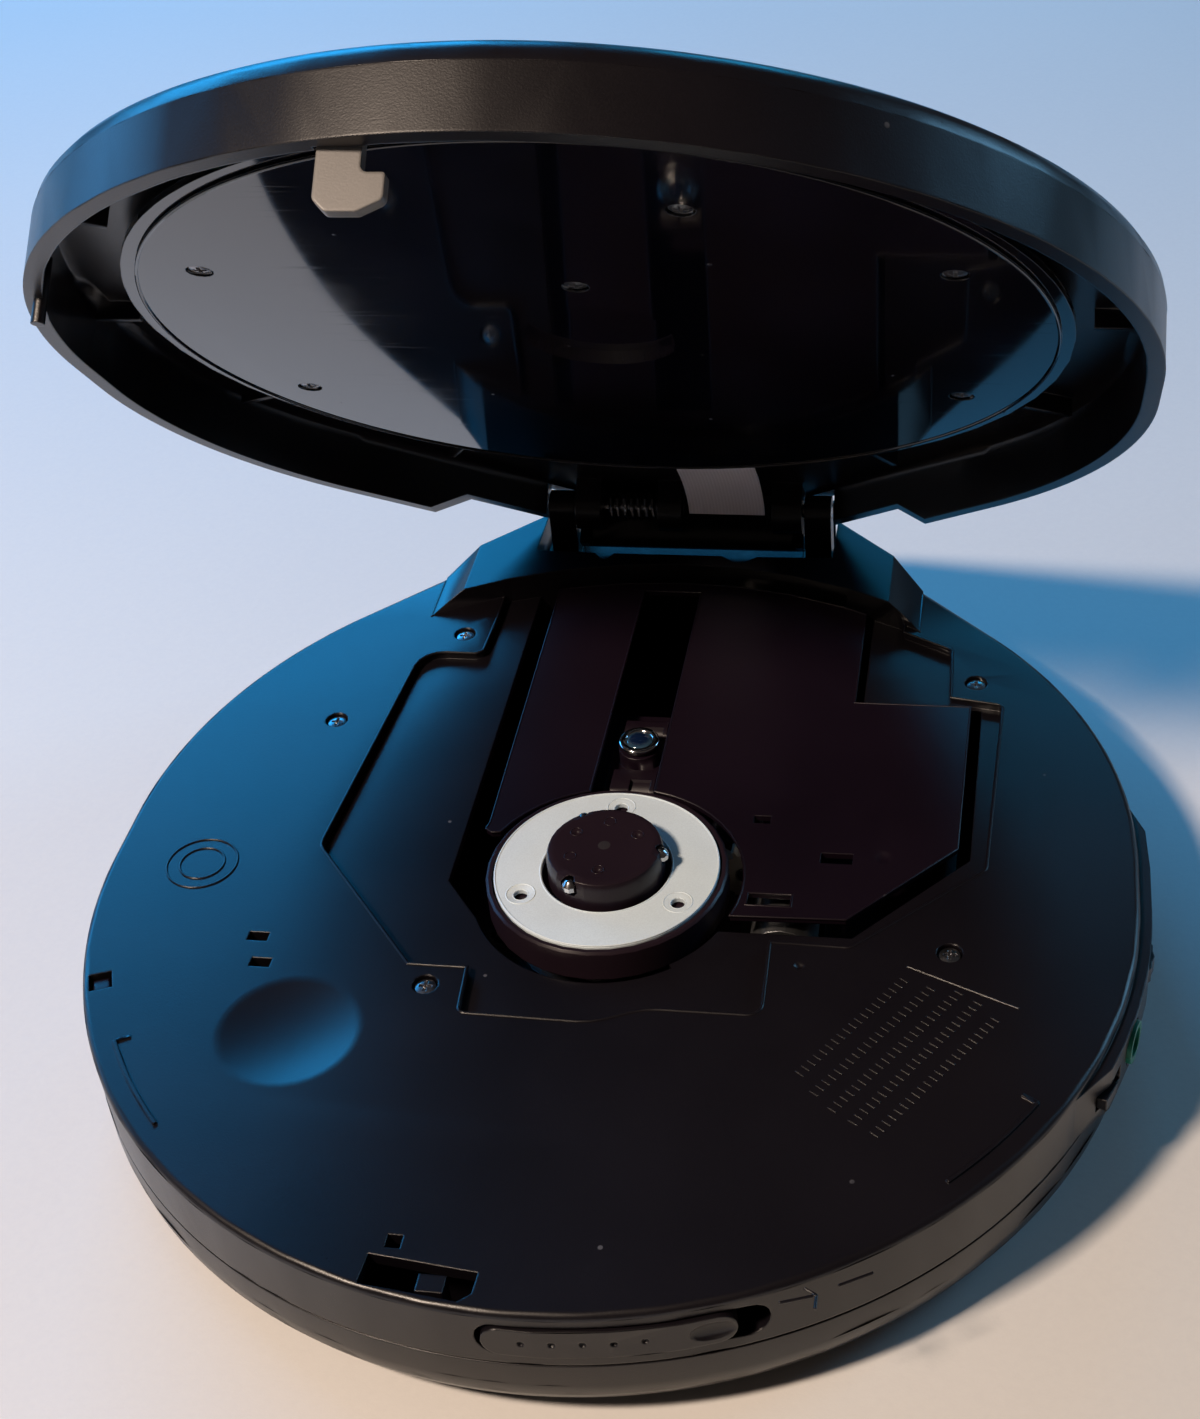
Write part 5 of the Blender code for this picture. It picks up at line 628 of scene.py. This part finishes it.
def screw_mesh(share, top, down=False):
    """Cross-recessed head: a low dome z = top - s (r / R)^2 whose cross sinks in by a smooth step."""
    rows = np.linspace(0, 1, SCREW_ROWS)
    turn = np.arange(SCREW_STEPS) * math.tau / SCREW_STEPS
    x = rows[:, None] * np.cos(turn)
    y = rows[:, None] * np.sin(turn)
    arm = np.minimum(np.abs(x), np.abs(y))
    reach = np.maximum(np.abs(x), np.abs(y))
    inside = np.clip((CROSS_HALF_WIDTH - arm) / CROSS_WIDTH_EASE, 0, 1)
    inside = inside * np.clip((CROSS_REACH - reach) / CROSS_END_EASE, 0, 1)
    height = -HEAD_FALL * (x * x + y * y) - CROSS_DEPTH * inside
    side = np.stack([np.cos(turn), np.sin(turn), np.full(SCREW_STEPS, -HEAD_SIDE)], axis=-1)[None]
    points = np.concatenate([np.stack([x, y, height], axis=-1), side]) * SCREW_HEAD
    if down:
        points[..., 2] *= -1
    points += np.array([share[0] * BODY_RADIUS, share[1] * BODY_RADIUS, top])
    return grid_mesh(points)


def open_with_lid(mesh):
    """Turns a mesh made in the closed lid's places to the open lid."""
    work = bmesh.new()
    work.from_mesh(mesh)
    turn_lid(work, LID_TURN)
    bmesh.ops.recalc_face_normals(work, faces=work.faces)
    work.to_mesh(mesh)
    work.free()
    return mesh


def box_mesh(low_mm, high_mm):
    """Closed box: four rows of the four corners, the first and last drawn in to the middle."""
    x0, y0, z0 = np.array(low_mm) * MM
    x1, y1, z1 = np.array(high_mm) * MM
    ring = np.array([[x0, y0], [x1, y0], [x1, y1], [x0, y1]])
    middle = ring.mean(axis=0)
    rows = []
    for share, z in ((0, z0), (1, z0), (1, z1), (0, z1)):
        plan = middle + (ring - middle) * share
        rows.append(np.concatenate([plan, np.full((4, 1), z)], axis=1))
    return grid_mesh(np.array(rows))


def add_screws():
    """Heads in the deck and in the lid plate, and the bead near the plate's edge."""
    heads = [screw_mesh(share, DECK - DECK_SCREW_SINK) for share in SCREW_SHARES]
    new_piece("deck_screws", merged_mesh(heads), "screw", "base")
    bead = ring_mesh((0, 0), PLATE_BEAD_RADIUS, PLATE_UNDER, PLATE_BEAD, PLATE_BEAD_STEPS)
    new_piece("plate_bead", open_with_lid(bead), "gloss", "lid")
    heads = [screw_mesh(share, PLATE_UNDER + PLATE_SCREW_SINK, True) for share in PLATE_SCREW_SHARES]
    new_piece("plate_screws", open_with_lid(merged_mesh(heads)), "screw", "lid")


def add_lips():
    cover_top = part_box("mechanism_cover")[1].z
    add_lip("well_lip", "upper_cabinet", DECK, least=100 * MM, radius=0.24 * MM, sink=0.08 * MM, slot="shell")
    add_lip("cover_lip", "mechanism_cover", cover_top, least=12 * MM, radius=0.17 * MM, sink=0.09 * MM,
            slot="mechanism")


# Rings on the spinning seat: (radius, sink, thickness, steps), with lengths in millimetres
SINKING_ORBIT = 11.4 * MM
SINKING_ANGLES = (90, 210, 330)
SINKING_RINGS = ((1.8, 0.03, 0.10, 40), (0.98, 0.21, 0.08, 28))
SEAT_RINGS = ((8.35, 0.04, 0.12, 96), (14.08, 0.05, 0.14, 128))
DIMPLE_ORBIT = 4.5 * MM
DIMPLE_ANGLES = (30, 90, 150, 210, 270)
DIMPLE_RINGS = ((0.74, 0.02, 0.09, 28),)
HUB_MARK_PROFILE = ((0, 0.03), (0.5, 0.03), (0.85, -0.01), (0.9, -0.25), (0, -0.25))
HUB_MARK_STEPS = 32


def rings_at(centre, top, rings_mm):
    return [ring_mesh(centre, radius * MM, top - sink * MM, thickness * MM, steps)
            for radius, sink, thickness, steps in rings_mm]


def add_rings():
    """Fine rims round the sinkings and edges of the metal ring and round the dimples of the hub."""
    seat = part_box("turntable")[1].z
    rings = rings_at((0, 0), seat, SEAT_RINGS)
    for angle in SINKING_ANGLES:
        rings += rings_at(orbit_place(SINKING_ORBIT, angle), seat, SINKING_RINGS)
    new_piece("turntable_lips", merged_mesh(rings), "platter", "turntable")
    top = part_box("hub")[1].z
    rings = []
    for angle in DIMPLE_ANGLES:
        rings += rings_at(orbit_place(DIMPLE_ORBIT, angle), top, DIMPLE_RINGS)
    new_piece("hub_lips", merged_mesh(rings), "hub", "turntable")
    mark = turned_mesh(profile_at(top, HUB_MARK_PROFILE), steps=HUB_MARK_STEPS)
    new_piece("hub_centre", mark, "hub_mark", "turntable")


# Lens, in millimetres
GLASS_RADIUS = 1.78
GLASS_FALL = 0.62
GLASS_BASE = -0.9
GLASS_ROWS = 14
LENS_RIM_MIDDLE = (2.27, -0.52)
LENS_RIM_HALF = (0.50, 0.36)
LENS_RIM_STEPS = 24
LENS_FOOT_PROFILE = ((2.0, -0.8), (2.55, -0.8), (2.45, -1.25), (2.0, -1.25), (2.0, -0.8))


def add_lens():
    """Objective lens: a domed blue glass in a bright rolled rim, on the pickup's tower.

    The dome is r = R sin b, z = top - h (1 - cos b), and the rim is an ellipse turned about the lens axis.
    """
    low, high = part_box("objective_lens")
    centre = ((low.x + high.x) / 2, (low.y + high.y) / 2)
    top = high.z
    bend = np.linspace(0, 1, GLASS_ROWS) * math.pi / 2
    dome = list(zip(GLASS_RADIUS * np.sin(bend), -GLASS_FALL * (1 - np.cos(bend))))
    dome += [(GLASS_RADIUS, GLASS_BASE), (0, GLASS_BASE)]
    glass = turned_mesh(profile_at(top, dome), centre)
    piece = new_piece("lens_glass", glass, "lens", "sled", 60)
    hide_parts("objective_lens")
    turn = np.arange(LENS_RIM_STEPS) * math.tau / LENS_RIM_STEPS
    rim = list(zip(LENS_RIM_MIDDLE[0] + LENS_RIM_HALF[0] * np.cos(turn),
                   LENS_RIM_MIDDLE[1] + LENS_RIM_HALF[1] * np.sin(turn)))
    rim = turned_mesh(profile_at(top, rim + rim[:1]), centre)
    new_piece("lens_rim", rim, "bright_rim", "sled", 80)
    foot = turned_mesh(profile_at(top, LENS_FOOT_PROFILE), centre)
    new_piece("lens_foot", foot, "mechanism", "sled")


# Two corners of each box, in millimetres: the lid's wall as it stands when closed, the ear wall on the right
LID_WALL = ((-17.1, 80.9, 17.95), (17.1, 81.9, 25.4))
# Dark rubber pad on the notch's floor: a dark sheet put there as painted shade.
NOTCH_SHADE_PAD = ((-17.0, 68.6, 14.8), (17.0, 80.2, 15.1))
EAR_WALL = ((17.5, 79.4, 14.5), (21.85, 80.3, 22.9))


def add_hinge_walls():
    """Rear wall of the lid over the notch, low walls behind the ears and a dark rubber pad on the notch's
    floor that stands in for the shade there.
    """
    new_piece("lid_rear_wall", open_with_lid(box_mesh(*LID_WALL)), "shell", "lid")
    # The pad is painted shade: a dark sheet where the notch's floor lies in shade.
    new_piece("notch_shade_pad", box_mesh(*NOTCH_SHADE_PAD), "rubber", "base")
    (inner, front, low), (outer, back, high) = EAR_WALL
    walls = [box_mesh((-outer, front, low), (-inner, back, high)), box_mesh(*EAR_WALL)]
    new_piece("ear_walls", merged_mesh(walls), "shell", "base")


# Raised forms on the deck, in millimetres
DECK_RING_PLACE = (-53.2 * MM, -1.2 * MM)
DECK_RING_RADII = (4.6, 2.9)
DECK_RING_BEAD = 0.17
DECK_RING_STEPS = 72
BAR_ROWS = (((27.0, -30.8), (38.1, -14.8)), ((28.9, -33.6), (41.6, -15.4)), ((31.1, -35.8), (44.8, -15.9)),
            ((33.5, -37.4), (46.7, -17.9)), ((36.0, -38.9), (49.3, -19.6)))
BAR_START = 0.4
BAR_PITCH = 1.05
BAR_HALF_LENGTH = 0.62
BAR_THICKNESS = 0.15
BAR_SINK = 0.03
DECK_LINES = (((38.2, -12.6), (51.4, -18.4)), ((34.0, -58.6), (37.4, -56.7)), ((28.2, -61.3), (31.9, -60.0)),
              ((30.6, -59.3), (31.9, -60.0)), ((31.9, -61.7), (31.9, -60.0)))
LINE_THICKNESS = 0.18


def deck_bar(pair_mm, thickness):
    path = np.concatenate([np.array(pair_mm) * MM, np.full((2, 1), DECK - BAR_SINK * MM)], axis=1)
    return tube_mesh(path, thickness * MM, sides=BAR_SIDES)


def add_deck_forms():
    """Plain raised forms: two rings, a grip pad of short bars with an edge line, a dash and an arrowhead."""
    rings = [ring_mesh(DECK_RING_PLACE, radius * MM, DECK, DECK_RING_BEAD * MM, DECK_RING_STEPS)
             for radius in DECK_RING_RADII]
    new_piece("deck_ring", merged_mesh(rings), "shell", "base")
    bars = []
    for start, end in np.array(BAR_ROWS):
        length = np.linalg.norm(end - start)
        along = (end - start) / length
        across = np.array([along[1], -along[0]]) * BAR_HALF_LENGTH
        for step in np.arange(BAR_START, length, BAR_PITCH):
            middle = start + along * step
            bars.append(deck_bar([middle - across, middle + across], BAR_THICKNESS))
    bars += [deck_bar(pair, LINE_THICKNESS) for pair in DECK_LINES]
    new_piece("grip_pad", merged_mesh(bars), "shell", "base")


add_screws()
add_lips()
add_rings()
add_lens()
add_hinge_walls()
add_deck_forms()


# Camera, room and lights

FOCAL_MM = 64.62
SENSOR_MM = 36.0
CAMERA_SHIFT = (-0.0502, -0.0470)
CAMERA_PLACE = Vector((49.52, -195.85, 200.42)) * MM
CAMERA_RIGHT = Vector((0.98616, 0.15022, -0.07011))
CAMERA_UP = Vector((-0.03382, 0.59623, 0.80210))
CAMERA_AHEAD = Vector((-0.1623, 0.7886, -0.5931))
CAMERA_REACH = (0.01, 50)
TABLE_HALF = 4.0
TABLE_DARK = (0.69, 0.67, 0.65)
TABLE_LIGHT = (0.74, 0.72, 0.69)
ROOM_TONE = (1.0, 0.82, 0.72, 1.0)
ROOM_STRENGTH = 0.035
WINDOW_BLUE = (0.02, 0.42, 1.0)
LAMP_AIM = Vector((0, 0, 0.02))

# Name, place and size in metres, power in watts, colour, and the turn about the lamp's own axis in degrees
LAMPS = (
    ("low_window", (-0.77, 1.02, 0.63), (1.15, 0.50), 14.0, WINDOW_BLUE, 0),
    ("slant_window", (-0.71, 1.10, 0.64), (1.30, 0.70), 3.0, WINDOW_BLUE, 42),
    ("left_window", (-1.38, 0.50, 0.34), (0.90, 0.45), 4.0, (0.10, 0.46, 1.0), 0),
    ("back_window", (0.10, 1.30, 0.62), (0.30, 0.30), 1.4, (0.02, 0.50, 1.0), 0),
    ("far_window", (1.15, 0.75, 0.60), (0.5, 0.5), 5.0, (0.25, 0.62, 1.0), 0),
    ("key_light", (-0.356, -0.356, 0.64), (0.09, 0.09), 7.0, (1.0, 0.80, 0.64), 0),
)


def place_camera():
    data = bpy.data.cameras.new("photo_camera")
    data.sensor_fit = "HORIZONTAL"
    data.sensor_width = SENSOR_MM
    data.lens = FOCAL_MM
    data.shift_x, data.shift_y = CAMERA_SHIFT
    data.clip_start, data.clip_end = CAMERA_REACH
    camera = bpy.data.objects.new("photo_camera", data)
    turn = Matrix((CAMERA_RIGHT, CAMERA_UP, -CAMERA_AHEAD)).transposed().to_4x4()
    camera.matrix_world = Matrix.Translation(CAMERA_PLACE) @ turn
    bpy.context.scene.collection.objects.link(camera)
    bpy.context.scene.camera = camera


def lay_table():
    """Plain pale table top."""
    mesh = bpy.data.meshes.new("table_top")
    corners = [(x * TABLE_HALF, y * TABLE_HALF, FLOOR) for x, y in ((-1, -1), (1, -1), (1, 1), (-1, 1))]
    mesh.from_pydata(corners, [], [(0, 1, 2, 3)])
    table = bpy.data.objects.new("table_top", mesh)
    bpy.context.scene.collection.objects.link(table)
    graph = Graph("table_paint")
    slow = graph.noise(0.004, 2.0)
    fine = graph.noise(1.2, 3.0, 0.6)
    colour = graph.tint((slow * 0.7 + fine * 0.3).ramp(0.3, 0.7), TABLE_DARK, TABLE_LIGHT)
    graph.finish(Base_Color=colour, Roughness=0.62 + fine * 0.1, Normal=graph.relief(fine, 0.02))
    mesh.materials.append(graph.material)


def light_room():
    """Blue windows behind and to the left, a warm key light from the front left and a dim warm room."""
    world = bpy.data.worlds.new("room")
    bpy.context.scene.world = world
    world.use_nodes = True
    background = next(n for n in world.node_tree.nodes if n.type == "BACKGROUND")
    background.inputs["Color"].default_value = ROOM_TONE
    background.inputs["Strength"].default_value = ROOM_STRENGTH
    for name, place, size, power, colour, roll in LAMPS:
        data = bpy.data.lights.new(name, "AREA")
        data.shape = "RECTANGLE"
        data.size, data.size_y = size
        data.energy = power
        data.color = colour
        lamp = bpy.data.objects.new(name, data)
        lamp.location = place
        aim = (LAMP_AIM - Vector(place)).to_track_quat("-Z", "Y").to_matrix().to_4x4()
        lamp.rotation_euler = (aim @ Matrix.Rotation(math.radians(roll), 4, "Z")).to_euler()
        bpy.context.scene.collection.objects.link(lamp)


place_camera()
lay_table()
light_room()
bpy.context.scene.view_settings.view_transform = "Standard"
